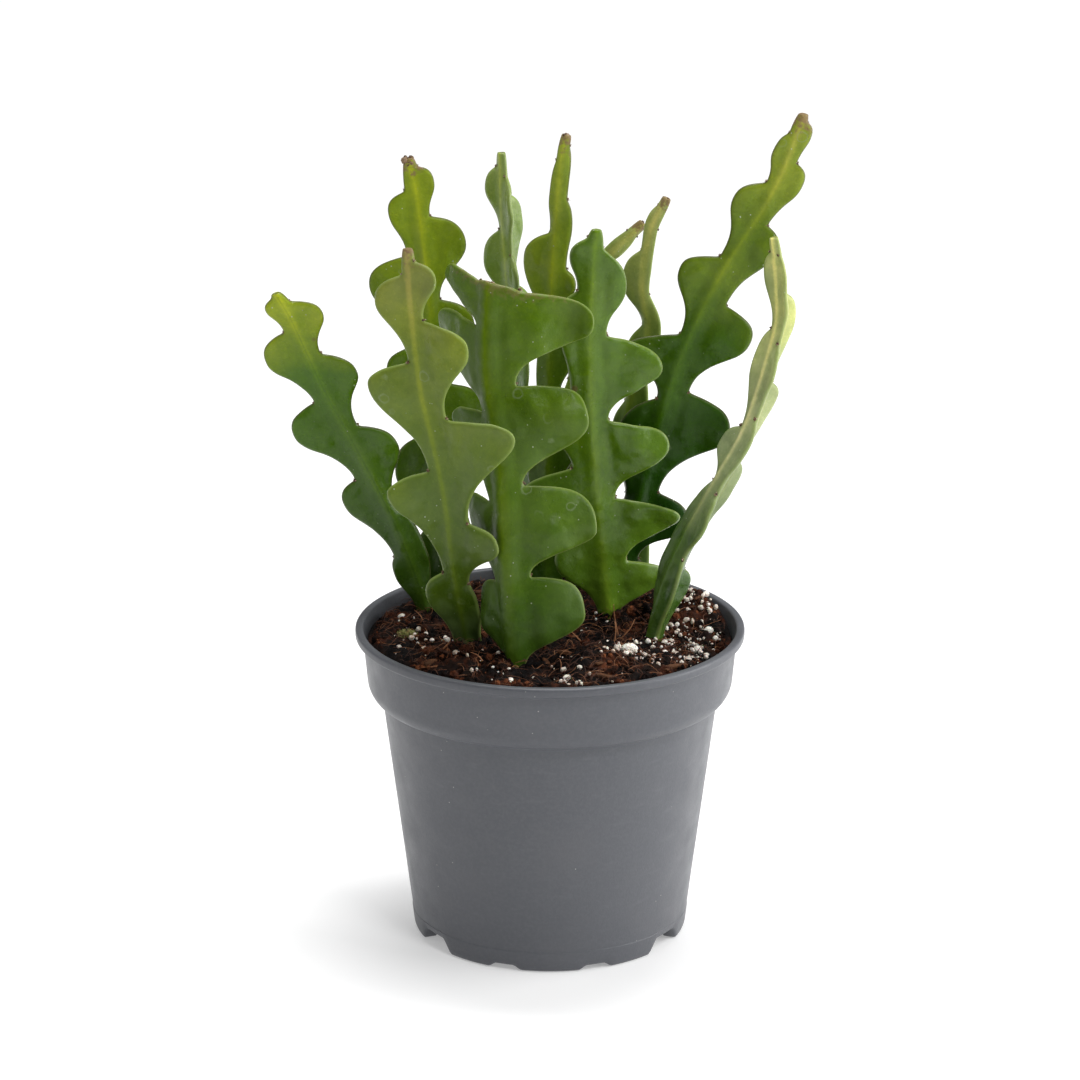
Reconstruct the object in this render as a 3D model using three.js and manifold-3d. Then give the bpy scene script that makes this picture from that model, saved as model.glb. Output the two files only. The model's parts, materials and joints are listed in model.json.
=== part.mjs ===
// A potted fishbone cactus: eleven flat, saw-toothed stems in a 12 cm grower's pot.
// Millimetres, +Z up, the pot stands on z = 0 with its axis on the Z axis, front towards -Y.

import * as THREE from "three";
import Module from "manifold-3d";

const wasm = await Module();
wasm.setup();

// ---------------------------------------------------------------- driving dimensions
const POT_HEIGHT = 98;
const POT_LIP_RADIUS = 60;
const POT_BASE_RADIUS = 41.4;
const POT_WALL = 1.3;
const ROUND_SEGMENTS = 60; // facets round the pot and the soil

const SHOULDER_TOP = 80.5; // lower edge of the band, outside
const SHOULDER_BOTTOM = 76.5; // where the tapered body starts
const BAND_TOP_RADIUS = 57.6;
const BAND_BOTTOM_RADIUS = 56.2;
const BODY_TOP_RADIUS = 51.9;

const FLOOR_RAISE = 3.6; // underside of the floor between the middle disc and the foot ring
const MIDDLE_DISC_RADIUS = 16;
const FOOT_RING_WIDTH = 3.4;
const DRAIN_HOLE_RADIUS = 4;
const DRAIN_CIRCLE_RADIUS = 27;
const DRAIN_HOLES = 8;

const GAP = 0.35; // clearance that neighbouring pieces keep
const SOIL_EDGE = 94.5; // height of the soil against the pot wall
const SOIL_LEVEL = 95.8;
const STEM_EDGE = 0.8; // half thickness of a wing at its edge
const CORE_AT_FOOT = 2.5; // half thickness of the midrib, foot and tip
const CORE_AT_TIP = 1.5;
const ROOT_REACH = 2.8; // reach of a wing below the soil, unless the stem names its own

// ---------------------------------------------------------------- stems
// spine: points of the midrib from the buried foot to the tip.
// Each wing has the heading it points in seen from above, in degrees from +X,
// at the foot and at the tip, and its teeth from the soil upwards:
// [station of the tooth's point, its reach from the midrib, station of the areole above it,
//  reach of the notch there]. Stations are lengths along the spine.
// A wing's lift is the angle its teeth rise above square to the midrib, in degrees. A stem's
// fullness says how far the teeth bulge below their points, and shoulder how square they are above.
const STEMS = [
  {
    name: "stem_left_leaning",
    colour: 0x5b8a2f,
    fullness: 0.3,
    shoulder: 0.8,
    spine: [[-38, 22, 72], [-39, 22, 96], [-47, 20, 122], [-58, 17, 147], [-70, 13, 172],
      [-79, 9, 194], [-83, 8, 201]],
    wings: [
      { heading: [0, 0], lift: -25, teeth: [[45, 6.5, 59, 2.8], [84, 13.2, 90, 3.8],
        [112, 13, 117, 4], [132, 10.5, 135.5, 2.4]] },
      { heading: [180, 180], teeth: [[36, 6.5, 43, 4.5], [65, 12.5, 72, 5.5], [93, 16, 101, 5],
        [117, 13.5, 126, 4], [135, 6, 138, 2]] },
    ],
  },
  {
    name: "stem_back_left",
    colour: 0x5a9428,
    fullness: 0.4,
    shoulder: 0.7,
    spine: [[-28, 34, 72], [-32, 34, 98], [-34, 33, 128], [-35, 31, 161], [-37, 29, 190],
      [-39, 27, 214], [-41, 26, 230], [-43, 25, 239]],
    wings: [
      { heading: [0, 0], teeth: [[42, 9, 56, 4], [84, 14.5, 95, 3.5], [113, 13.5, 122, 3.5],
        [139, 13, 149, 3], [160, 6, 165, 2]] },
      { heading: [180, 180], teeth: [[35, 9, 48, 4], [66, 14, 78, 4.5], [100, 15, 108, 5],
        [128, 18, 137, 5.5], [152, 9.5, 158, 3.5]] },
    ],
  },
  {
    name: "stem_front_left",
    colour: 0x5c8a44,
    fullness: 0.28,
    shoulder: 0.7,
    foot: 4.4,
    spine: [[-24, -8, 72], [-25, -9, 96], [-29, -16, 124], [-31, -20, 144], [-34, -22, 161],
      [-38, -24, 180], [-41, -25, 208], [-42, -25, 223]],
    wings: [
      { heading: [-35, -35], teeth: [[34, 6, 45, 3.8], [60, 17, 67, 6.5], [94, 27, 101, 6.5],
        [123, 18.5, 132, 3.5], [144, 9.5, 150, 2]] },
      { heading: [180, 180], teeth: [[42, 10.5, 49, 4], [79, 17.5, 84, 3.8], [114, 16, 119, 3],
        [138, 11, 146, 2.2]] },
    ],
  },
  {
    name: "stem_front_centre",
    colour: 0x3b7426,
    fullness: 0.55,
    shoulder: 0.9,
    spine: [[-9, -26, 72], [-10, -27, 94], [-13, -22, 128], [-14, -18, 152], [-18, -14, 176],
      [-19, -12, 191], [-18, -10, 209]],
    wings: [
      { heading: [0, 0], teeth: [[36, 22, 49, 6.5], [63, 27.5, 77, 5.5], [93, 28, 107, 8],
        [128.5, 32, 137, 9]] },
      { heading: [125, 125], lift: 20, teeth: [[27, 16, 46, 6], [60, 21, 70, 6], [88, 22, 98, 5],
        [114, 27, 124, 4], [131, 23, 137, 5]] },
    ],
  },
  {
    name: "stem_centre_right",
    colour: 0x3f8229,
    fullness: 0.42,
    shoulder: 0.5,
    spine: [[17, 18, 72], [18, 17, 95], [15, 14, 130], [13, 12, 157], [12, 10, 180], [13, 8, 208],
      [14, 7, 221]],
    wings: [
      { heading: [5, 5], teeth: [[34, 19, 41, 7], [54, 25, 62, 5.5], [78, 23.5, 88, 5],
        [104, 22.5, 116, 5], [131, 10.5, 144, 2.5]] },
      { heading: [180, 180], teeth: [[44, 15, 50, 7], [65, 23, 73, 7], [92, 21, 98, 6],
        [121, 10, 130, 4.5], [141, 7.5, 147, 2.5]] },
    ],
  },
  {
    name: "stem_back_slender",
    colour: 0x5d9a33,
    fullness: 0.35,
    shoulder: 0.6,
    spine: [[-9, 41, 72], [-8, 43, 91], [-9, 45, 140], [-12, 46, 189], [-14, 46, 214],
      [-15, 46, 236]],
    wings: [
      { heading: [-70, -70], teeth: [[35, 7, 48, 3], [64, 8, 78, 3], [95, 8, 105, 2.8],
        [122, 8, 132, 2.5], [147, 6, 157, 2]] },
      { heading: [50, 50], teeth: [[48, 7, 62, 3], [80, 5, 94, 2.5], [112, 9, 122, 2.8],
        [142, 8, 151, 2.5]] },
      { heading: [170, 170], teeth: [[40, 8, 55, 3], [72, 10, 86, 3], [103, 10, 113, 2.8],
        [130, 8, 140, 2], [153, 6, 160, 2]] },
    ],
  },
  {
    name: "stem_back_centre",
    colour: 0x57902f,
    fullness: 0.38,
    shoulder: 0.6,
    spine: [[1, 27, 72], [0, 28, 96], [0, 28, 168], [1, 28, 200], [2, 27, 218], [4, 26, 241],
      [5, 26, 246]],
    wings: [
      { heading: [-15, -15], teeth: [[45, 8, 58, 3], [76, 9, 90, 3], [105, 8, 117, 3],
        [127, 7.5, 132, 4], [146, 5, 154, 2.8], [163, 3, 171, 1.8]] },
      { heading: [165, 165], teeth: [[36, 8, 50, 3], [66, 7, 80, 3], [98, 4.5, 110, 2.6],
        [133, 10, 143, 2], [154, 3, 166, 1.8]] },
    ],
  },
  {
    name: "stem_back_thin",
    colour: 0x649c40,
    fullness: 0.4,
    shoulder: 0.5,
    spine: [[10, 42, 72], [11, 43, 95], [7, 44, 151], [12, 45, 189], [17, 45, 202], [29, 45, 214]],
    wings: [
      { heading: [0, 0], teeth: [[50, 4, 66, 2.2], [84, 4.5, 100, 2.2], [114, 4, 130, 2],
        [137, 3, 144, 1.8]] },
      { heading: [180, 180], teeth: [[40, 4, 58, 2.2], [74, 4.5, 92, 2.2], [106, 4, 122, 2],
        [134, 2.4, 143, 1.8]] },
    ],
  },
  {
    name: "stem_back_curved",
    colour: 0x6aa03c,
    fullness: 0.4,
    shoulder: 0.5,
    spine: [[28, 38, 72], [29, 40, 96], [25, 40, 152], [31, 39, 181], [29, 38, 195], [31, 37, 212],
      [36, 36, 224]],
    wings: [
      { heading: [-30, -30], teeth: [[50, 5, 66, 2.5], [80, 6, 96, 2.5], [109, 4, 122, 2],
        [132, 2.5, 144, 1.8]] },
      { heading: [150, 150], teeth: [[40, 6, 56, 2.5], [70, 7, 86, 2.5], [100, 7, 112, 2.4],
        [126, 7.5, 136, 2], [146, 3, 151, 1.8]] },
    ],
  },
  {
    name: "stem_right_tall",
    colour: 0x47832c,
    fullness: 0.35,
    shoulder: 0.8,
    spine: [[22, 30, 72], [21, 30, 97], [28, 28, 131], [34, 26, 156], [41, 23, 179], [52, 20, 204],
      [66, 17, 228], [72, 15, 242], [76, 14, 255]],
    wings: [
      { heading: [-10, -10], teeth: [[31, 9, 39, 4.5], [54, 17, 62, 5.5], [88, 22, 97, 6],
        [121, 18, 129, 6], [151, 11, 158, 4], [173, 7.5, 179, 3], [188, 4.5, 192, 2]] },
      { heading: [180, 180], lift: -22, teeth: [[48, 11, 58, 4.5], [79, 13, 93, 3],
        [111, 19, 115.5, 3.2], [139, 13, 143, 3.2], [166, 10.5, 171, 3.2], [182, 5.5, 188, 2.4]] },
    ],
  },
  {
    name: "stem_right_pale",
    colour: 0x77a04a,
    fullness: 0.3,
    shoulder: 0.7,
    spine: [[32, -5, 72], [32, -5, 95], [39, -4, 119], [50, -3, 142], [59, -2, 159], [66, -1, 181],
      [69, 0, 196], [68, 1, 213], [67, 1, 220]],
    wings: [
      { heading: [-80, -75], teeth: [[38, 5, 50, 3], [61, 6.5, 73, 3], [86, 5, 99, 2.8],
        [111, 5, 123, 2.6], [134, 4.5, 150, 2]] },
      { heading: [20, 30], teeth: [[42, 7, 47, 2.8], [80, 6, 85, 2.6], [106, 6.5, 111, 2.6],
        [132, 5.5, 138, 2.2]] },
      { heading: [110, 175], teeth: [[44, 7, 76, 2.5], [86, 7.5, 95, 2.6], [113, 5.5, 127, 2.2],
        [143, 4.5, 151, 1.8]] },
    ],
  },
];

// ---------------------------------------------------------------- what lies on the soil
// Mounds and hollows of the soil: [x, y, height, spread].
const MOUNDS = [
  [46, 25, 4.5, 14], [-30, -24, 2.5, 8], [14, -28, 3.5, 11], [-48, 5, 0.5, 10], [-2, -38, -2, 8],
  [50, -6, -2.5, 14], [-30, 42, 0.5, 12],
];
// Larger grains of perlite: [x, y, width, turn in degrees].
const GRAINS = [
  [24, -22, 5.5, 20], [45, -14, 3.4, 70], [5, -43, 2.8, 35], [-38, -20, 2.8, 10],
  [49, 3, 3.6, 50], [-46, 12, 2.8, 25], [-12, -46, 2.6, 60], [36, 16, 3, 15],
];
// Chips of bark: [x, y, length, turn in degrees].
const CHIPS = [[38, -34, 7, 25], [16, -44, 6, -35], [-36, -32, 6, 60], [-16, 14, 8, 10]];
const MOSS = { x: -44, y: -4, radius: 3.2, height: 2 };

// ---------------------------------------------------------------- general helpers
const radians = THREE.MathUtils.degToRad;
const lerp = THREE.MathUtils.lerp;

function material(colour, roughness) {
  return new THREE.MeshStandardMaterial({ color: colour, roughness, metalness: 0 });
}

function piece(name, geometry, look) {
  const mesh = new THREE.Mesh(geometry, look);
  mesh.name = name;
  return mesh;
}

// Triangles of a closed three.js geometry as a manifold solid, equal corners shared.
function toSolid(geometry) {
  const source = geometry.index ? geometry.toNonIndexed() : geometry;
  const at = source.getAttribute("position");
  const known = new Map();
  const corners = [];
  const triangles = [];
  for (let i = 0; i < at.count; i += 3) {
    const triangle = [0, 1, 2].map((k) => {
      const point = [at.getX(i + k), at.getY(i + k), at.getZ(i + k)];
      const key = point.map((value) => Math.round(value * 1e4)).join();
      if (!known.has(key)) {
        known.set(key, corners.length / 3);
        corners.push(...point);
      }
      return known.get(key);
    });
    if (new Set(triangle).size === 3) triangles.push(...triangle);
  }
  return new wasm.Manifold(new wasm.Mesh({
    numProp: 3,
    vertProperties: new Float32Array(corners),
    triVerts: new Uint32Array(triangles),
  }));
}

function toGeometry(solid) {
  const mesh = solid.getMesh();
  const geometry = new THREE.BufferGeometry();
  geometry.setAttribute("position", new THREE.BufferAttribute(mesh.vertProperties, 3));
  geometry.setIndex(new THREE.BufferAttribute(mesh.triVerts, 1));
  geometry.computeVertexNormals();
  return geometry;
}

// Closed skin over a row of rings of equal count, each end closed by a fan.
function loft(rings) {
  const count = rings[0].length;
  const points = rings.flat();
  const middle = (ring) => ring.reduce((sum, p) => sum.add(p), new THREE.Vector3())
    .multiplyScalar(1 / count);
  const bottom = points.push(middle(rings[0])) - 1;
  const top = points.push(middle(rings.at(-1))) - 1;
  const last = (rings.length - 1) * count;
  const faces = [];
  for (let k = 0; k < count; k += 1) {
    const next = (k + 1) % count;
    for (let row = 0; row < last; row += count) {
      faces.push(row + k, row + next, row + count + next);
      faces.push(row + k, row + count + next, row + count + k);
    }
    faces.push(bottom, next, k);
    faces.push(top, last + k, last + next);
  }
  const geometry = new THREE.BufferGeometry().setFromPoints(points);
  geometry.setIndex(faces);
  geometry.computeVertexNormals();
  return geometry;
}

// ---------------------------------------------------------------- stems
// Reach of a wing as [station, reach] points, from the foot to the tip.
function wingOutline(teeth, { fullness, shoulder, foot = ROOT_REACH }, length) {
  const rootEnd = 22;
  const outline = [[0, foot], [rootEnd, foot]];
  let below = rootEnd;
  let notch = foot;
  for (const [tip, reach, areole, neck] of teeth) {
    const rise = tip - below;
    const drop = areole - tip;
    const lowerEdge = new THREE.CubicBezierCurve(
      new THREE.Vector2(below, notch),
      new THREE.Vector2(below + 0.55 * rise, notch),
      new THREE.Vector2(tip - fullness * rise, reach),
      new THREE.Vector2(tip, reach),
    );
    const upperEdge = new THREE.CubicBezierCurve(
      new THREE.Vector2(tip, reach),
      new THREE.Vector2(tip + 0.6 * drop, reach),
      new THREE.Vector2(areole - 0.5 * (1 - shoulder) * drop, lerp(neck, reach, shoulder)),
      new THREE.Vector2(areole, neck),
    );
    for (const t of [0.3, 0.55, 0.8, 1]) outline.push(lowerEdge.getPoint(t).toArray());
    for (const t of [0.5, 0.75, 1]) outline.push(upperEdge.getPoint(t).toArray());
    below = areole;
    notch = neck;
  }
  if (length - below > 1) outline.push([length, CORE_AT_TIP]);
  return outline;
}

function reachAt(outline, station) {
  const after = outline.findIndex(([s]) => s >= station);
  if (after < 0) return outline.at(-1)[1];
  if (after === 0) return outline[0][1];
  const [s0, r0] = outline[after - 1];
  const [s1, r1] = outline[after];
  return lerp(r0, r1, (station - s0) / Math.max(s1 - s0, 1e-6));
}

// Stations for the rings: first the ends, points and notches, then the outlines' other points
// wherever they are clear of those.
function stationsOf(wings, outlines, length) {
  const stations = [0, length];
  const add = (station, spacing) => {
    if (stations.every((other) => Math.abs(other - station) > spacing)) stations.push(station);
  };
  const teeth = wings.flatMap((wing) => wing.teeth);
  for (const [, , areole] of teeth) add(areole, 0.3);
  for (const [tip] of teeth) add(tip, 0.8);
  for (const [station] of outlines.flat()) add(station, 0.8);
  return stations.sort((a, b) => a - b);
}

// One stem, every face pushed outwards by the given allowance.
function stemGeometry(stem, allowance = 0) {
  const { spine, wings } = stem;
  const curve = new THREE.CatmullRomCurve3(
    spine.map((point) => new THREE.Vector3(...point)), false, "centripetal",
  );
  const length = curve.getLength();
  const outlines = wings.map(({ teeth }) => wingOutline(teeth, stem, length));
  const rings = stationsOf(wings, outlines, length).map((station) => {
    const along = station / length;
    const centre = curve.getPointAt(along);
    const tangent = curve.getTangentAt(along);
    if (station === 0) centre.addScaledVector(tangent, -allowance);
    if (station === length) centre.addScaledVector(tangent, allowance);
    const edge = STEM_EDGE + allowance;
    const core = lerp(CORE_AT_FOOT, CORE_AT_TIP, along) + allowance;
    const headings = wings.map(({ heading: [foot, tip] }) => lerp(foot, tip, along));
    const direction = (degrees) => new THREE.Vector3(
      Math.cos(radians(degrees)), Math.sin(radians(degrees)), 0,
    ).projectOnPlane(tangent).normalize();
    return headings.flatMap((heading, index) => {
      const square = direction(heading);
      const sideways = tangent.clone().cross(square);
      const lift = radians(wings[index].lift ?? 0);
      const outwards = square.multiplyScalar(Math.cos(lift)).addScaledVector(tangent, Math.sin(lift));
      const reach = reachAt(outlines[index], station) + allowance;
      const next = index + 1 < headings.length ? headings[index + 1] : headings[0] + 360;
      const valley = direction((heading + next) / 2);
      const place = (out, side) => centre.clone().addScaledVector(outwards, out)
        .addScaledVector(sideways, side);
      return [place(reach, -edge), place(reach, edge), centre.clone().addScaledVector(valley, core)];
    });
  });
  return loft(rings);
}

// ---------------------------------------------------------------- pot
// Outside of the wall from the foot up, and the same offset inwards for the inside.
function potGeometry() {
  const outside = [
    [POT_BASE_RADIUS - FOOT_RING_WIDTH, 0],
    [POT_BASE_RADIUS, 0],
    [POT_BASE_RADIUS + 0.8, 0.5],
    [POT_BASE_RADIUS + 1.2, 1.5],
    [BODY_TOP_RADIUS, SHOULDER_BOTTOM - 0.6],
    [BODY_TOP_RADIUS + 0.6, SHOULDER_BOTTOM],
    [BODY_TOP_RADIUS + 2.6, SHOULDER_BOTTOM + 0.8],
    [BAND_BOTTOM_RADIUS - 0.5, SHOULDER_TOP - 1.6],
    [BAND_BOTTOM_RADIUS, SHOULDER_TOP],
    [BAND_TOP_RADIUS, POT_HEIGHT - 3.9],
    [BAND_TOP_RADIUS + 0.6, POT_HEIGHT - 3.2],
    [POT_LIP_RADIUS - 0.3, POT_HEIGHT - 2.6],
    [POT_LIP_RADIUS, POT_HEIGHT - 1.8],
    [POT_LIP_RADIUS - 0.2, POT_HEIGHT - 0.5],
    [POT_LIP_RADIUS - 0.9, POT_HEIGHT],
  ];
  const floorTop = FLOOR_RAISE + POT_WALL;
  const inside = [
    [POT_LIP_RADIUS - 2.6, POT_HEIGHT],
    [BAND_TOP_RADIUS - POT_WALL, POT_HEIGHT - 5],
    ...potInnerWall(0),
    [MIDDLE_DISC_RADIUS + 2.5, floorTop],
    [MIDDLE_DISC_RADIUS, POT_WALL],
    [0, POT_WALL],
  ];
  const underside = [
    [0, 0],
    [MIDDLE_DISC_RADIUS, 0],
    [MIDDLE_DISC_RADIUS + 2, FLOOR_RAISE],
    [POT_BASE_RADIUS - FOOT_RING_WIDTH - 0.4, FLOOR_RAISE],
  ];
  const profile = [...underside, ...outside, ...inside].map(([r, z]) => new THREE.Vector2(r, z));
  let pot = toSolid(new THREE.LatheGeometry(profile, ROUND_SEGMENTS).rotateX(Math.PI / 2));
  for (const cutter of potCutters()) pot = pot.subtract(toSolid(cutter));
  return toGeometry(pot);
}

// Inside of the wall below the band's top, kept clear by the given gap, from top to bottom.
function potInnerWall(gap) {
  const floorTop = FLOOR_RAISE + POT_WALL;
  return [
    [BAND_BOTTOM_RADIUS - POT_WALL - gap, SHOULDER_TOP + 0.8 + gap],
    [BODY_TOP_RADIUS + 1.4 - gap, SHOULDER_BOTTOM + 2.2 + gap],
    [BODY_TOP_RADIUS - POT_WALL - gap, SHOULDER_BOTTOM + 0.2 + gap],
    [POT_BASE_RADIUS + 0.4 - POT_WALL - gap, floorTop + 2 + gap],
    [POT_BASE_RADIUS - POT_WALL - 1.4 - gap, floorTop + gap],
  ];
}

// Drain holes in the floor, and the arches that let water out under the foot ring.
function potCutters() {
  const cutters = [];
  for (let k = 0; k < DRAIN_HOLES; k += 1) {
    const angle = (k + 0.5) * (2 * Math.PI / DRAIN_HOLES);
    const hole = new THREE.CylinderGeometry(DRAIN_HOLE_RADIUS, DRAIN_HOLE_RADIUS, 8, 16);
    hole.rotateX(Math.PI / 2);
    hole.translate(
      DRAIN_CIRCLE_RADIUS * Math.cos(angle), DRAIN_CIRCLE_RADIUS * Math.sin(angle), 5,
    );
    cutters.push(hole);
  }
  const arches = [
    { from: 47, to: 68, height: 4.4 },
    { from: 13, to: 26, height: 1.4 },
  ];
  for (const { from, to, height } of arches) {
    for (const side of [1, -1]) {
      for (const front of [-90, 90]) {
        const start = front + side * from;
        const end = front + side * to;
        cutters.push(archCutter(Math.min(start, end), Math.max(start, end), height));
      }
    }
  }
  return cutters;
}

// A block bent round the foot ring between two headings, its top corners sloped.
function archCutter(start, end, height) {
  const inner = POT_BASE_RADIUS - FOOT_RING_WIDTH - 1.2;
  const outer = POT_BASE_RADIUS + 4;
  const steps = 6;
  const rings = [];
  for (let k = 0; k <= steps; k += 1) {
    const angle = radians(lerp(start, end, k / steps));
    const top = k === 0 || k === steps ? 0.35 * height : height;
    const at = (r, z) => new THREE.Vector3(r * Math.cos(angle), r * Math.sin(angle), z);
    rings.push([at(inner, -1), at(inner, top), at(outer, top), at(outer, -1)]);
  }
  return loft(rings);
}

// ---------------------------------------------------------------- soil and what lies on it
function soilHeight(x, y) {
  const bumps = MOUNDS.reduce((sum, [mx, my, height, spread]) => {
    const far = ((x - mx) ** 2 + (y - my) ** 2) / spread ** 2;
    return sum + height * Math.exp(-far);
  }, 0);
  return SOIL_LEVEL + bumps;
}

function soilGeometry(sockets) {
  const floorTop = FLOOR_RAISE + POT_WALL + GAP;
  const rim = potInnerWall(GAP)[0][0] + 1.2;
  const surface = [0.92, 0.8, 0.65, 0.5, 0.35, 0.18, 0];
  const profile = [
    [0, POT_WALL + GAP],
    [MIDDLE_DISC_RADIUS - GAP, POT_WALL + GAP],
    [MIDDLE_DISC_RADIUS + 2.5, floorTop],
    ...potInnerWall(GAP).reverse(),
    [rim, SOIL_EDGE],
    ...surface.map((share) => [share * rim, SOIL_LEVEL]),
  ].map(([r, z]) => new THREE.Vector2(r, z));
  const geometry = new THREE.LatheGeometry(profile, ROUND_SEGMENTS).rotateX(Math.PI / 2);
  const at = geometry.getAttribute("position");
  for (let i = 0; i < at.count; i += 1) {
    if (Math.abs(at.getZ(i) - SOIL_LEVEL) < 1e-3) at.setZ(i, soilHeight(at.getX(i), at.getY(i)));
  }
  let soil = toSolid(geometry);
  for (const socket of sockets) soil = soil.subtract(toSolid(socket));
  return toGeometry(soil);
}

// A rounded lump lying in the soil, half sunk, grown by the given allowance.
function grainGeometry([x, y, width, turn], allowance = 0) {
  const grain = new THREE.IcosahedronGeometry(0.5, 1);
  grain.scale(width + 2 * allowance, 0.8 * width + 2 * allowance, 0.7 * width + 2 * allowance);
  grain.rotateZ(radians(turn));
  grain.translate(x, y, soilHeight(x, y) + 0.1 * width);
  return grain;
}

// A flat splinter of bark lying in the soil, half sunk.
function chipGeometry([x, y, length, turn], allowance = 0) {
  const grow = 2 * allowance;
  const chip = new THREE.CylinderGeometry(0.5, 0.5, 1, 6);
  chip.rotateZ(Math.PI / 2);
  chip.scale(length + grow, 0.34 * length + grow, 0.18 * length + grow);
  chip.rotateZ(radians(turn));
  chip.translate(x, y, soilHeight(x, y) + 0.4);
  return chip;
}

function mossGeometry(allowance = 0) {
  const tuft = new THREE.IcosahedronGeometry(1, 1);
  const across = MOSS.radius + allowance;
  tuft.scale(across, across, MOSS.height + allowance);
  tuft.translate(MOSS.x, MOSS.y, soilHeight(MOSS.x, MOSS.y));
  return tuft;
}

// ---------------------------------------------------------------- the whole plant
const PLASTIC = material(0x63656a, 0.45);
const PEAT = material(0x33231a, 1);
const PERLITE = material(0xe8e4da, 0.9);
const BARK = material(0x5e3a24, 0.95);
const MOSS_GREEN = material(0x7f8a3a, 1);

const sockets = [
  ...STEMS.map((stem) => stemGeometry(stem, GAP)),
  ...GRAINS.map((grain) => grainGeometry(grain, GAP)),
  ...CHIPS.map((chip) => chipGeometry(chip, GAP)),
  mossGeometry(GAP),
];

const group = new THREE.Group();
group.add(piece("pot", potGeometry(), PLASTIC));
group.add(piece("soil", soilGeometry(sockets), PEAT));
for (const stem of STEMS) {
  group.add(piece(stem.name, stemGeometry(stem), material(stem.colour, 0.4)));
}
GRAINS.forEach((grain, index) => {
  group.add(piece(`perlite_grain_${index + 1}`, grainGeometry(grain), PERLITE));
});
CHIPS.forEach((chip, index) => {
  group.add(piece(`bark_chip_${index + 1}`, chipGeometry(chip), BARK));
});
group.add(piece("moss_tuft", mossGeometry(), MOSS_GREEN));

export default group;
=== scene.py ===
"""A potted fishbone cactus: fine meshes, materials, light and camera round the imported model.

Lengths in the tables below are millimetres, as on a drawing of the plant, and every mesh is
made in metres, in the model's own frame: +Z up, the pot's foot on z = 0, front towards -Y.
"""

import json
import math

import bmesh
import bpy
import numpy as np
from mathutils import Matrix, Vector, noise
from mathutils.geometry import delaunay_2d_cdt


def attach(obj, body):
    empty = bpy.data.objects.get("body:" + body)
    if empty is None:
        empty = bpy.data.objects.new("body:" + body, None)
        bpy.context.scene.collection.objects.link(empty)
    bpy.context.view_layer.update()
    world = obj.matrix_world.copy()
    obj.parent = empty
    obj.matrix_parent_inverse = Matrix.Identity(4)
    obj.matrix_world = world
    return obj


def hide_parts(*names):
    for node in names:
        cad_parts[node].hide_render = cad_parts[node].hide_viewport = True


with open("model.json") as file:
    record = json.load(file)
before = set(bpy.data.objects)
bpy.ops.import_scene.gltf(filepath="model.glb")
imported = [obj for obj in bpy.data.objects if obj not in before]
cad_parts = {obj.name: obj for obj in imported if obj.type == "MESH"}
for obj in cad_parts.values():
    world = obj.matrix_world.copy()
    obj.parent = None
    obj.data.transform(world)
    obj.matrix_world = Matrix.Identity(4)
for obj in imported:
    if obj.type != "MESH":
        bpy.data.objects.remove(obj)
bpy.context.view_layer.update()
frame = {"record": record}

MM = 0.001
BODY = "root"

# ---- driving dimensions
POT_HEIGHT = 98
LIP_RADIUS = 60
BASE_RADIUS = 41.4
WALL = 1.3
SHOULDER_TOP = 80.5
SHOULDER_BOTTOM = 76.5
BAND_TOP_RADIUS = 57.6
BAND_BOTTOM_RADIUS = 56.2
BODY_TOP_RADIUS = 51.9
FLOOR_RAISE = 3.6
FOOT_RING_WIDTH = 3.4
MIDDLE_DISC_RADIUS = 16
DRAIN_HOLE_RADIUS = 4
DRAIN_CIRCLE_RADIUS = 27
DRAIN_HOLES = 8
GAP = 0.35
SOIL_EDGE = 94.5
SOIL_LEVEL = 95.8
SOIL_RADIUS = 56.0

EDGE_HALF = 0.66  # half thickness of a blade just inside its rounded margin
EDGE_ROUND = 0.95  # how far in from the margin the rounding reaches
CORE_AT_FOOT = 3.1  # half thickness at the midrib
CORE_AT_TIP = 1.3
PLUMP = 1.5  # how far the lobes swell on each side
GROOVE = 0.45  # depth of the groove beside the midrib
FOLD = 3.2  # two wings turn into each other over this distance from the midrib
WARP = 4.6  # slow waves that push a blade out of flat
RIPPLE = 0.8  # quick ones
OUTLINE_STEP = 0.55  # spacing of the points along a fine blade's margin
GRID_PITCH = 1.15  # and inside it
LUMP_HEIGHT = 1.9  # unevenness of the soil's surface
CRUMB_HEIGHT = 1.1
PIT_DEPTH = 2.8

# ---- stems
def wing(heading, teeth, tip_heading=None, lift=0):
    """One wing of a stem.

    heading: where it points seen from above, in degrees from +X, at the foot and, if it turns,
    at the tip; lift: how far it tilts towards the tip, in degrees.
    teeth, from the soil upwards: (station of the tooth's point, its reach from the midrib,
    station of the areole above it, reach of the notch there).
    """
    at_tip = heading if tip_heading is None else tip_heading
    return dict(heading=(heading, at_tip), teeth=teeth, lift=lift)


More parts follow.
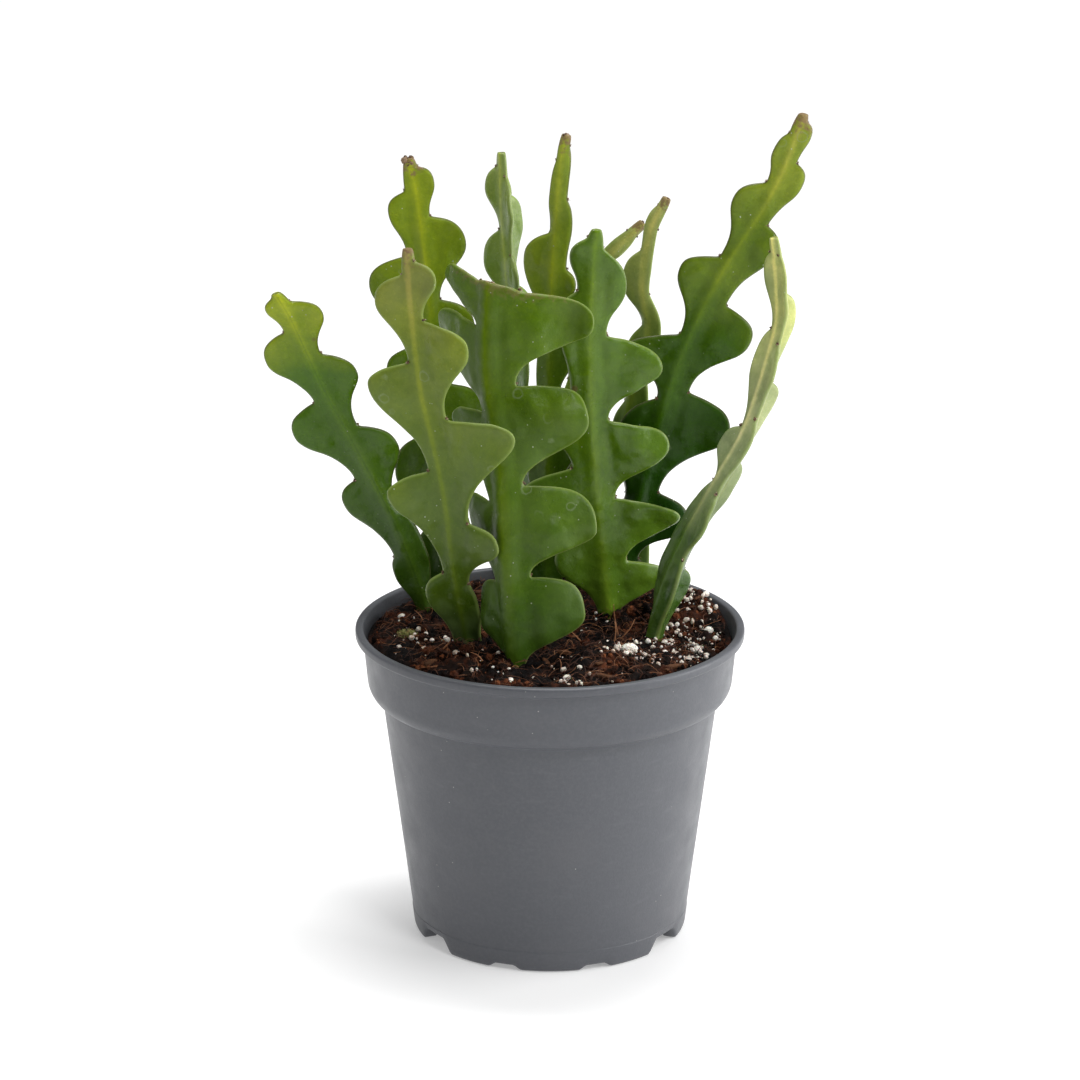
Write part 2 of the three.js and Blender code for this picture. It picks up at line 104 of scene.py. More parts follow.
# spine: points of the midrib from the buried foot to the tip.
# colours: the flesh at the foot, halfway and at the tip; some stems also get painted shade, a thin
# dark line down the midrib's crease.
STEMS = [
    dict(
        name="stem_left_leaning", fullness=0.3, shoulder=0.8, tip="green", margin="dark",
        fade=(0.3, 0.74), gloss=0.25,
        colours=((0.035, 0.08, 0.006), (0.056, 0.132, 0.001), (0.27, 0.34, 0.012)), crease_shade=0.5,
        spine=[(-38, 22, 72), (-39, 22, 96), (-47, 20, 122), (-58, 17, 147), (-70, 13, 172),
               (-79, 9, 194), (-83, 8, 201)],
        wings=[
            wing(0, [(45, 6.5, 59, 2.8), (84, 13.2, 90, 3.8), (112, 13, 117, 4),
                (132, 10.5, 135.5, 2.4)], lift=-25),
            wing(180, [(36, 6.5, 43, 4.5), (65, 12.5, 72, 5.5), (93, 16, 101, 5),
                (117, 13.5, 126, 4), (135, 6, 138, 2)]),
        ],
    ),
    dict(
        name="stem_back_left", fullness=0.4, shoulder=0.7, tip="cork", margin="dark",
        colours=((0.018, 0.055, 0.003), (0.08, 0.15, 0.004), (0.18, 0.25, 0.008)),
        spine=[(-28, 34, 72), (-32, 34, 98), (-34, 33, 128), (-35, 31, 161), (-37, 29, 190),
               (-39, 27, 214), (-41, 26, 230), (-43, 25, 239)],
        wings=[
            wing(0, [(42, 9, 56, 4), (84, 14.5, 95, 3.5), (113, 13.5, 122, 3.5), (139, 13, 149, 3),
                (160, 6, 165, 2)]),
            wing(180, [(35, 9, 48, 4), (66, 14, 78, 4.5), (100, 15, 108, 5), (128, 18, 137, 5.5),
                (152, 9.5, 158, 3.5)]),
        ],
    ),
    dict(
        name="stem_front_left", fullness=0.28, shoulder=0.7, tip="cork", margin="pale", foot=4.4,
        colours=((0.02, 0.05, 0.004), (0.085, 0.14, 0.008), (0.17, 0.22, 0.02)),
        bloom=0.5, blush=0.6,
        spine=[(-24, -8, 72), (-25, -9, 96), (-29, -16, 124), (-31, -20, 144), (-34, -22, 161),
               (-38, -24, 180), (-41, -25, 208), (-42, -25, 223)],
        wings=[
            wing(-35, [(34, 6, 45, 3.8), (60, 17, 67, 6.5), (94, 27, 101, 6.5),
                (123, 18.5, 132, 3.5), (144, 9.5, 150, 2)]),
            wing(180, [(42, 10.5, 49, 4), (79, 17.5, 84, 3.8), (114, 16, 119, 3),
                (138, 11, 146, 2.2)]),
        ],
    ),
    dict(
        name="stem_front_centre", fullness=0.55, shoulder=0.9, tip="cut", margin="pale",
        colours=((0.034, 0.08, 0.005), (0.055, 0.11, 0.003), (0.065, 0.125, 0.001)), bloom=0.25,
        spine=[(-9, -26, 72), (-10, -27, 94), (-13, -22, 128), (-14, -18, 152), (-18, -14, 176),
               (-19, -12, 191), (-18, -10, 209)],
        wings=[
            wing(0, [(36, 22, 49, 6.5), (63, 27.5, 77, 5.5), (93, 28, 107, 8),
                (128.5, 32, 137, 9)]),
            wing(125, [(27, 16, 46, 6), (60, 21, 70, 6), (88, 22, 98, 5), (114, 27, 124, 4),
                (131, 23, 137, 5)], lift=20),
        ],
    ),
    dict(
        name="stem_centre_right", fullness=0.42, shoulder=0.5, tip="green", margin="pale",
        colours=((0.085, 0.17, 0.012), (0.066, 0.14, 0.002), (0.07, 0.145, 0.002)), bloom=0.12,
        gloss=0.34,
        spine=[(17, 18, 72), (18, 17, 95), (15, 14, 130), (13, 12, 157), (12, 10, 180),
               (13, 8, 208), (14, 7, 221)],
        wings=[
            wing(5, [(34, 19, 41, 7), (54, 25, 62, 5.5), (78, 23.5, 88, 5), (104, 22.5, 116, 5),
                (131, 10.5, 144, 2.5)]),
            wing(180, [(44, 15, 50, 7), (65, 23, 73, 7), (92, 21, 98, 6), (121, 10, 130, 4.5),
                (141, 7.5, 147, 2.5)]),
        ],
    ),
    dict(
        name="stem_back_slender", fullness=0.35, shoulder=0.6, tip="green", margin="pale",
        colours=((0.03, 0.09, 0.006), (0.09, 0.19, 0.014), (0.2, 0.28, 0.05)), bloom=0.2,
        gloss=0.4,
        spine=[(-9, 41, 72), (-8, 43, 91), (-9, 45, 140), (-12, 46, 189), (-14, 46, 214),
               (-15, 46, 236)],
        wings=[
            wing(-70, [(35, 7, 48, 3), (64, 8, 78, 3), (95, 8, 105, 2.8), (122, 8, 132, 2.5),
                (147, 6, 157, 2)]),
            wing(50, [(48, 7, 62, 3), (80, 5, 94, 2.5), (112, 9, 122, 2.8), (142, 8, 151, 2.5)]),
            wing(170, [(40, 8, 55, 3), (72, 10, 86, 3), (103, 10, 113, 2.8), (130, 8, 140, 2),
                (153, 6, 160, 2)]),
        ],
    ),
    dict(
        name="stem_back_centre", fullness=0.38, shoulder=0.6, tip="cork", margin="dark",
        colours=((0.03, 0.08, 0.004), (0.09, 0.165, 0.007), (0.2, 0.27, 0.02)),
        spine=[(1, 27, 72), (0, 28, 96), (0, 28, 168), (1, 28, 200), (2, 27, 218), (4, 26, 241),
               (5, 26, 246)],
        wings=[
            wing(-15, [(45, 8, 58, 3), (76, 9, 90, 3), (105, 8, 117, 3), (127, 7.5, 132, 4),
                (146, 5, 154, 2.8), (163, 3, 171, 1.8)]),
            wing(165, [(36, 8, 50, 3), (66, 7, 80, 3), (98, 4.5, 110, 2.6), (133, 10, 143, 2),
                (154, 3, 166, 1.8)]),
        ],
    ),
    dict(
        name="stem_back_thin", fullness=0.4, shoulder=0.5, tip="cork", margin="pale",
        colours=((0.04, 0.1, 0.006), (0.13, 0.2, 0.018), (0.26, 0.3, 0.08)), bloom=0.4,
        spine=[(10, 42, 72), (11, 43, 95), (7, 44, 151), (12, 45, 189), (17, 45, 202),
               (29, 45, 214)],
        wings=[
            wing(0, [(50, 4, 66, 2.2), (84, 4.5, 100, 2.2), (114, 4, 130, 2), (137, 3, 144, 1.8)]),
            wing(180, [(40, 4, 58, 2.2), (74, 4.5, 92, 2.2), (106, 4, 122, 2),
                (134, 2.4, 143, 1.8)]),
        ],
    ),
    dict(
        name="stem_back_curved", fullness=0.4, shoulder=0.5, tip="cork", margin="pale",
        colours=((0.03, 0.09, 0.004), (0.11, 0.19, 0.01), (0.3, 0.34, 0.1)), bloom=0.3,
        spine=[(28, 38, 72), (29, 40, 96), (25, 40, 152), (31, 39, 181), (29, 38, 195),
               (31, 37, 212), (36, 36, 224)],
        wings=[
            wing(-30, [(50, 5, 66, 2.5), (80, 6, 96, 2.5), (109, 4, 122, 2), (132, 2.5, 144, 1.8)]),
            wing(150, [(40, 6, 56, 2.5), (70, 7, 86, 2.5), (100, 7, 112, 2.4), (126, 7.5, 136, 2),
                (146, 3, 151, 1.8)]),
        ],
    ),
    dict(
        name="stem_right_tall", fullness=0.35, shoulder=0.8, tip="cork", margin="dark",
        fade=(0.3, 0.6), blush=0.35,
        colours=((0.008, 0.042, 0.001), (0.035, 0.09, 0.001), (0.19, 0.26, 0.012)),
        spine=[(22, 30, 72), (21, 30, 97), (28, 28, 131), (34, 26, 156), (41, 23, 179),
               (52, 20, 204), (66, 17, 228), (72, 15, 242), (76, 14, 255)],
        wings=[
            wing(-10, [(31, 9, 39, 4.5), (54, 17, 62, 5.5), (88, 22, 97, 6), (121, 18, 129, 6),
                (151, 11, 158, 4), (173, 7.5, 179, 3), (188, 4.5, 192, 2)]),
            wing(180, [(48, 11, 58, 4.5), (79, 13, 93, 3), (111, 19, 115.5, 3.2),
                (139, 13, 143, 3.2), (166, 10.5, 171, 3.2), (182, 5.5, 188, 2.4)], lift=-22),
        ],
    ),
    dict(
        name="stem_right_pale", fullness=0.3, shoulder=0.7, tip="green", margin="pale",
        fade=(0.4, 0.56), bloom=0.6, gloss=0.35,
        colours=((0.035, 0.085, 0.008), (0.33, 0.39, 0.19), (0.47, 0.52, 0.16)),
        spine=[(32, -5, 72), (32, -5, 95), (39, -4, 119), (50, -3, 142), (59, -2, 159),
               (66, -1, 181), (69, 0, 196), (68, 1, 213), (67, 1, 220)],
        wings=[
            wing(-80, [(38, 5, 50, 3), (61, 6.5, 73, 3), (86, 5, 99, 2.8), (111, 5, 123, 2.6),
                (134, 4.5, 150, 2)], tip_heading=-75),
            wing(20, [(42, 7, 47, 2.8), (80, 6, 85, 2.6), (106, 6.5, 111, 2.6),
                (132, 5.5, 138, 2.2)], tip_heading=30),
            wing(110, [(44, 7, 76, 2.5), (86, 7.5, 95, 2.6), (113, 5.5, 127, 2.2),
                (143, 4.5, 151, 1.8)], tip_heading=175),
        ],
    ),
]

# ---- what lies on the soil
# Mounds and hollows of the soil: (x, y, height, spread).
MOUNDS = [
    (46, 25, 4.5, 14), (-30, -24, 2.5, 8), (14, -28, 3.5, 11), (-48, 5, 0.5, 10), (-2, -38, -2, 8),
    (50, -6, -2.5, 14), (-30, 42, 0.5, 12),
]
# Larger grains of perlite: (x, y, width, turn in degrees).
GRAINS = [
    (24, -22, 5.5, 20), (45, -14, 3.4, 70), (5, -43, 2.8, 35), (-38, -20, 2.8, 10),
    (49, 3, 3.6, 50), (-46, 12, 2.8, 25), (-12, -46, 2.6, 60), (36, 16, 3, 15),
]
# A hollow beside the front stem, where the soil and crumbs are drawn darker as painted shade: (x, y,
# radius).
SHADED_HOLLOW = (1, -35, 13)
# Chips of bark: (x, y, length, turn in degrees).
CHIPS = [(38, -34, 7, 25), (16, -44, 6, -35), (-36, -32, 6, 60), (-16, 14, 8, 10)]
MOSS = dict(x=-44, y=-4, radius=3.2, height=2)


# Softboxes: name, place in metres, watts, width and height in metres.
SOFTBOXES = [
    ("key_softbox", (0.45, -0.85, 1.3), 6.5, (0.35, 0.3)),
    ("right_softbox", (1.2, -0.05, 0.5), 17, (1.3, 0.9)),
    ("left_strip", (-1.2, 0.1, 0.6), 1.2, (0.25, 1.0)),
    ("top_softbox", (0.05, 0.35, 1.6), 20, (0.9, 0.5)),
]


# ---- general helpers
def make_mesh(name, vertices, triangles, smooth=True):
    """A mesh object from metre coordinates and vertex triples."""
    vertices = np.asarray(vertices, dtype=np.float32)
    triangles = np.asarray(triangles, dtype=np.int32)
    mesh = bpy.data.meshes.new(name)
    mesh.vertices.add(len(vertices))
    mesh.vertices.foreach_set("co", vertices.ravel())
    mesh.loops.add(triangles.size)
    mesh.loops.foreach_set("vertex_index", triangles.ravel())
    mesh.polygons.add(len(triangles))
    mesh.polygons.foreach_set("loop_start", np.arange(0, triangles.size, 3, dtype=np.int32))
    mesh.polygons.foreach_set("use_smooth", np.full(len(triangles), smooth))
    mesh.update(calc_edges=True)
    mesh.validate()
    obj = bpy.data.objects.new(name, mesh)
    bpy.context.scene.collection.objects.link(obj)
    return obj


def set_attribute(obj, name, values):
    """A number for each vertex, which the materials read by name."""
    attribute = obj.data.attributes.new(name, "FLOAT", "POINT")
    attribute.data.foreach_set("value", np.asarray(values, dtype=np.float32))


def mount(obj, slot, material, *replaced):
    """Gives a finished piece its material and body, and hides the model's nodes that it stands for."""
    obj.data.materials.clear()
    obj.data.materials.append(material)
    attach(obj, BODY)
    if replaced:
        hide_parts(*replaced)
    return obj


def smoothstep(low, high, value):
    t = np.clip((value - low) / (high - low), 0, 1)
    return t * t * (3 - 2 * t)


def unit(vectors):
    return vectors / np.maximum(np.linalg.norm(vectors, axis=-1, keepdims=True), 1e-9)


def soil_height(x, y):
    """Height of the soil's broad shape, in millimetres."""
    bumps = sum(h * math.exp(-((x - mx) ** 2 + (y - my) ** 2) / w ** 2) for mx, my, h, w in MOUNDS)
    return SOIL_LEVEL + bumps


def ripples(x, y, size, seed):
    """Smooth noise over the soil, its waves about as wide as size."""
    return noise.noise(Vector((x / size, y / size, seed)))


def hollow_shade(x, y):
    """Painted shade in the hollow beside the front stem: how much darker the soil is drawn there, from
    0 to 1.
    """
    cx, cy, radius = SHADED_HOLLOW
    return math.exp(-((x - cx) ** 2 + (y - cy) ** 2) / radius ** 2)


# ---- material helpers
class Nodes:
    """Small wrapper that adds shader nodes and joins them."""

    SOCKETS = dict(
        roughness="Roughness", specular="Specular IOR Level", scatter="Subsurface Weight",
        scatter_radius="Subsurface Radius", scatter_scale="Subsurface Scale")

    def __init__(self, name):
        self.material = bpy.data.materials.new(name)
        self.material.use_nodes = True
        self.tree = self.material.node_tree
        self.shader = self.tree.nodes["Principled BSDF"]

    def add(self, kind, values=None, **settings):
        node = self.tree.nodes.new(kind)
        for key, value in settings.items():
            setattr(node, key, value)
        for socket, value in (values or {}).items():
            if isinstance(value, bpy.types.NodeSocket):
                self.tree.links.new(value, node.inputs[socket])
            else:
                node.inputs[socket].default_value = value
        return node

    def link(self, source, socket):
        self.tree.links.new(source, self.shader.inputs[socket])

    def attribute(self, name):
        return self.add("ShaderNodeAttribute", attribute_name=name).outputs["Fac"]

    def position(self):
        return self.add("ShaderNodeTexCoord").outputs["Object"]

    def noise(self, scale, detail=4.0, roughness=0.55, distortion=0.0, vector=None):
        node = self.add("ShaderNodeTexNoise", {
            "Vector": vector or self.position(), "Scale": scale, "Detail": detail,
            "Roughness": roughness, "Distortion": distortion})
        return node.outputs["Fac"]

    def patches(self, scale, low, high, to_low=0.0, to_high=1.0, **kind):
        """Noise with the stretch from low to high spread over the range given."""
        return self.map_range(self.noise(scale, **kind), low, high, to_low, to_high)

    def voronoi(self, scale, feature="F1", randomness=1.0, output="Distance"):
        node = self.add("ShaderNodeTexVoronoi", {
            "Vector": self.position(), "Scale": scale, "Randomness": randomness}, feature=feature)
        return node.outputs[output]

    def ramp(self, value, stops):
        """Colour ramp: stops are (place, colour or grey value)."""
        node = self.add("ShaderNodeValToRGB", {"Fac": value})
        elements = node.color_ramp.elements
        while len(elements) < len(stops):
            elements.new(0.5)
        for element, (place, colour) in zip(elements, stops):
            element.position = place
            grey = isinstance(colour, (int, float))
            element.color = (colour, colour, colour, 1) if grey else (*colour, 1)
        return node.outputs["Color"]

    def mix(self, factor, first, second, blend="MIX"):
        node = self.add("ShaderNodeMix", data_type="RGBA", blend_type=blend)
        for socket, value in ((0, factor), (6, first), (7, second)):
            if isinstance(value, bpy.types.NodeSocket):
                self.tree.links.new(value, node.inputs[socket])
            elif isinstance(value, (int, float)):
                node.inputs[socket].default_value = value
            else:
                node.inputs[socket].default_value = (*value, 1)
        return node.outputs[2]

    def math(self, operation, first, second=0.0, clamp=False):
        return self.add("ShaderNodeMath", {0: first, 1: second}, operation=operation,
                        use_clamp=clamp).outputs[0]

    def map_range(self, value, low, high, to_low=0.0, to_high=1.0):
        return self.add("ShaderNodeMapRange", {
            "Value": value, "From Min": low, "From Max": high, "To Min": to_low,
            "To Max": to_high}).outputs[0]

    def bump(self, height, distance, strength=1.0, below=None):
        values = {"Height": height, "Distance": distance, "Strength": strength}
        if below is not None:
            values["Normal"] = below
        return self.add("ShaderNodeBump", values).outputs["Normal"]

    def finish(self, colour, roughness, normal=None, **fixed):
        """Joins up the shader; fixed values are the same all over the surface."""
        self.link(colour, "Base Color")
        if isinstance(roughness, float):
            fixed["roughness"] = roughness
        else:
            self.link(roughness, "Roughness")
        if normal is not None:
            self.link(normal, "Normal")
        for key, value in fixed.items():
            self.shader.inputs[self.SOCKETS[key]].default_value = value
        return self.material


# ---- flesh of the stems
def lighter(n, base, gains):
    return n.mix(1.0, base, gains, "MULTIPLY")


def flesh_material(stem):
    """Waxy green flesh, darkest at the foot, with a raised midrib, specks and water marks."""
    foot, middle, tip = stem["colours"]
    n = Nodes(stem["name"] + "_flesh")
    along, rib, rim = n.attribute("along"), n.attribute("rib"), n.attribute("rim")
    drift = n.math("ADD", along, n.patches(28, 0.3, 0.7, -0.07, 0.07, detail=2))
    dark_to, middle_at = stem.get("fade", (0.16, 0.55))
    base = n.ramp(drift, [(dark_to, foot), (middle_at, middle), (0.95, tip)])

    patches = n.patches(75, 0.35, 0.7, 0.0, 0.6, detail=3)
    base = n.mix(patches, base, lighter(n, base, (1.5, 1.32, 1.3)))
    mottle = n.patches(480, 0.42, 0.68, 0.0, 0.45, detail=5, roughness=0.7)
    base = n.mix(mottle, base, lighter(n, base, (0.6, 0.7, 0.5)))
    flecks = n.patches(1300, 0.56, 0.7, 0.0, 0.3, detail=2)
    base = n.mix(flecks, base, lighter(n, base, (1.6, 1.45, 1.6)))

    cloud = n.patches(42, 0.42, 0.68, detail=3)
    haze = n.math("MULTIPLY", cloud, stem.get("bloom", 0.08))
    away = n.math("SUBTRACT", 1.0, rib)
    base = n.mix(n.math("MULTIPLY", haze, away), base, (0.12, 0.165, 0.06))
    # the midrib is drawn lighter: partly its own paler colour, partly a painted highlight along the
    # raised ridge
    base = n.mix(rib, base, lighter(n, base, (1.75, 1.5, 1.5)))
    # painted shade: a thin dark line down the crease of the midrib
    if "crease_shade" in stem:
        thin = n.map_range(rib, 0.72, 0.98, 0.0, stem["crease_shade"])
        base = n.mix(thin, base, lighter(n, base, (0.3, 0.45, 0.3)))
    if "blush" in stem:
        near_tip = n.map_range(along, 0.8, 1.0, 0.0, stem["blush"])
        share = n.math("ADD", n.math("MULTIPLY", rib, 0.75), 0.25)
        base = n.mix(n.math("MULTIPLY", near_tip, share), base, (0.36, 0.24, 0.13))
    if stem["margin"] == "pale":
        base = n.mix(n.map_range(rim, 0.0, 0.5, 0.7, 0.0), base, (0.2, 0.26, 0.07))
    else:
        base = n.mix(n.map_range(rim, 0.0, 0.45, 0.75, 0.0), base, (0.055, 0.05, 0.018))

    specks = n.map_range(n.voronoi(420), 0.06, 0.1, 1.0, 0.0)
    sparse = n.patches(95, 0.52, 0.6, detail=2)
    base = n.mix(n.math("MULTIPLY", specks, sparse), base, (0.42, 0.47, 0.33))
    marks = n.math("ADD", n.voronoi(105), n.patches(420, 0.3, 0.7, -0.035, 0.035))
    ring = n.math("MULTIPLY", n.map_range(marks, 0.13, 0.16), n.map_range(marks, 0.16, 0.2, 1.0, 0.0))
    wet = n.patches(33, 0.57, 0.63, 0.0, 0.3, detail=1)
    base = n.mix(n.math("MULTIPLY", ring, wet), base, (0.27, 0.32, 0.2))
    scars = n.math("MULTIPLY", n.map_range(n.voronoi(61), 0.05, 0.08, 1.0, 0.0),
                   n.patches(21, 0.58, 0.62, 0.0, 0.75, detail=0))
    base = n.mix(scars, base, (0.1, 0.06, 0.015))
    if stem["tip"] != "green":
        wander = n.math("ADD", along, n.patches(600, 0.3, 0.7, -0.02, 0.02, detail=3))
        dry = n.map_range(wander, 0.972, 0.992, 0.0, 0.85 if stem["tip"] == "cork" else 0.4)
        base = n.mix(dry, base, (0.2, 0.125, 0.065))

    gloss = stem.get("gloss", 0.18)
    rough = n.patches(130, 0.3, 0.7, 0.28 - 0.3 * gloss, 0.4 - 0.3 * gloss)
    rough = n.math("ADD", rough, n.math("MULTIPLY", haze, 0.35))
    rough = n.math("ADD", rough, n.math("MULTIPLY", scars, 0.3))
    broad = n.bump(n.noise(85, detail=2), 0.0026, 0.7)
    pores = n.bump(n.noise(900, detail=4, roughness=0.65), 0.00022, 0.55, broad)
    return n.finish(base, rough, n.bump(specks, 0.0002, 0.6, pores), specular=gloss, scatter=0.08,
                    scatter_radius=(0.6, 1.0, 0.2), scatter_scale=0.002)


def spine_table(points):
    """Arc length, position and tangent along a centripetal Catmull-Rom curve, in millimetres."""
    knots = [np.array(p, dtype=float) for p in points]
    knots = [2 * knots[0] - knots[1], *knots, 2 * knots[-1] - knots[-2]]
    path = []
    for a, b, c, d in zip(knots, knots[1:], knots[2:], knots[3:]):
        t0, t1 = 0.0, math.sqrt(np.linalg.norm(b - a))
        t2 = t1 + math.sqrt(np.linalg.norm(c - b))
        t3 = t2 + math.sqrt(np.linalg.norm(d - c))
        t = np.linspace(t1, t2, 60, endpoint=False)[:, None]
        ab = (t1 - t) / (t1 - t0) * a + (t - t0) / (t1 - t0) * b
        bc = (t2 - t) / (t2 - t1) * b + (t - t1) / (t2 - t1) * c
        cd = (t3 - t) / (t3 - t2) * c + (t - t2) / (t3 - t2) * d
        abc = (t2 - t) / (t2 - t0) * ab + (t - t0) / (t2 - t0) * bc
        bcd = (t3 - t) / (t3 - t1) * bc + (t - t1) / (t3 - t1) * cd
        path.append((t2 - t) / (t2 - t1) * abc + (t - t1) / (t2 - t1) * bcd)
    path = np.vstack([*path, knots[-2][None]])
    length = np.r_[0, np.cumsum(np.linalg.norm(np.diff(path, axis=0), axis=1))]
    tangent = unit(np.gradient(path, length, axis=0))
    return length, path, tangent


def bezier(p0, p1, p2, p3, count):
    t = np.linspace(0, 1, count + 1)[1:, None]
    p0, p1, p2, p3 = (np.array(p, dtype=float) for p in (p0, p1, p2, p3))
    s = 1 - t
    return s ** 3 * p0 + 3 * s * s * t * p1 + 3 * s * t * t * p2 + t ** 3 * p3


def wing_outline(stem, teeth, length):
    """Reach of a wing from the foot to the tip, as rows of (station, reach)."""
    root_reach, root_end = stem.get("foot", 2.8), 22
    rows = [np.array([(0, root_reach), (root_end, root_reach)], dtype=float)]
    below, notch = root_end, root_reach
    full, square = stem["fullness"], stem["shoulder"]
    for tip, reach, areole, neck in teeth:
        rise, drop = tip - below, areole - tip
        rows.append(bezier((below, notch), (below + 0.55 * rise, notch),
                           (tip - full * rise, reach), (tip, reach), 24))
        low = neck + (reach - neck) * square
        rows.append(bezier((tip, reach), (tip + 0.6 * drop, reach),
                           (areole - 0.5 * (1 - square) * drop, low), (areole, neck), 24))
        below, notch = areole, neck
    if length - below > 1:
        rows.append(bezier((below, notch), (below + 0.5 * (length - below), notch),
                           (length, 1.7), (length, 1.4), 8))
    rows.append(bezier((length, 1.4), (length + 0.9, 1.3), (length + 1.6, 0.8),
                       (length + 1.6, 0.1), 6))
    return np.vstack(rows)


def resample(points, spacing):
    """Even points along a closed outline."""
    closed = np.vstack([points, points[:1]])
    run = np.r_[0, np.cumsum(np.linalg.norm(np.diff(closed, axis=0), axis=1))]
    count = max(8, int(run[-1] / spacing))
    at = np.linspace(0, run[-1], count, endpoint=False)
    return np.column_stack([np.interp(at, run, closed[:, k]) for k in range(2)])


def soften(points, rounds):
    """Rounds a closed outline's sharp corners a little."""
    for _ in range(rounds):
        points = 0.5 * points + 0.25 * (np.roll(points, 1, axis=0) + np.roll(points, -1, axis=0))
    return points


def distance_to(outline, points):
    """Distance of each point from the closed outline."""
    start, end = outline, np.roll(outline, -1, axis=0)
    span = end - start
    size = np.maximum((span ** 2).sum(1), 1e-12)
    nearest = np.empty(len(points))
    for first in range(0, len(points), 400):
        block = points[first:first + 400]
        to = block[:, None, :] - start[None]
        t = np.clip((to * span).sum(2) / size, 0, 1)
        nearest[first:first + 400] = np.linalg.norm(to - t[..., None] * span, axis=2).min(1)
    return nearest


def blade_points(outline, reach_limits):
    """Points for a fine blade: its margin, rows inside the margin, and a grid for the rest."""
    ahead = unit(np.roll(outline, -1, axis=0) - np.roll(outline, 1, axis=0))
    inward = np.column_stack([-ahead[:, 1], ahead[:, 0]])
    area = 0.5 * np.sum(outline[:, 0] * np.roll(outline[:, 1], -1)
                        - np.roll(outline[:, 0], -1) * outline[:, 1])
    if area < 0:
        inward = -inward
    groups = [outline]
    for step, depth in enumerate((0.1, 0.3, 0.6, 1.0, 1.6)):
        row = (outline + depth * inward)[(step % 2)::(1 if depth < 0.7 else 2)]
        groups.append(row[distance_to(outline, row) > 0.9 * depth])
    low, high = outline.min(0), outline.max(0)
    xs = np.arange(low[0], high[0], GRID_PITCH)
    ys = np.arange(low[1], high[1], GRID_PITCH * 0.866)
    grid = np.array([(x + (k % 2) * GRID_PITCH / 2, y) for k, y in enumerate(ys) for x in xs])
    left, right = reach_limits(grid[:, 0])
    inside = grid[(grid[:, 1] > left + 1.5) & (grid[:, 1] < right - 1.5)]
    groups.append(inside[distance_to(outline, inside) > 2.1])
    return np.vstack(groups)


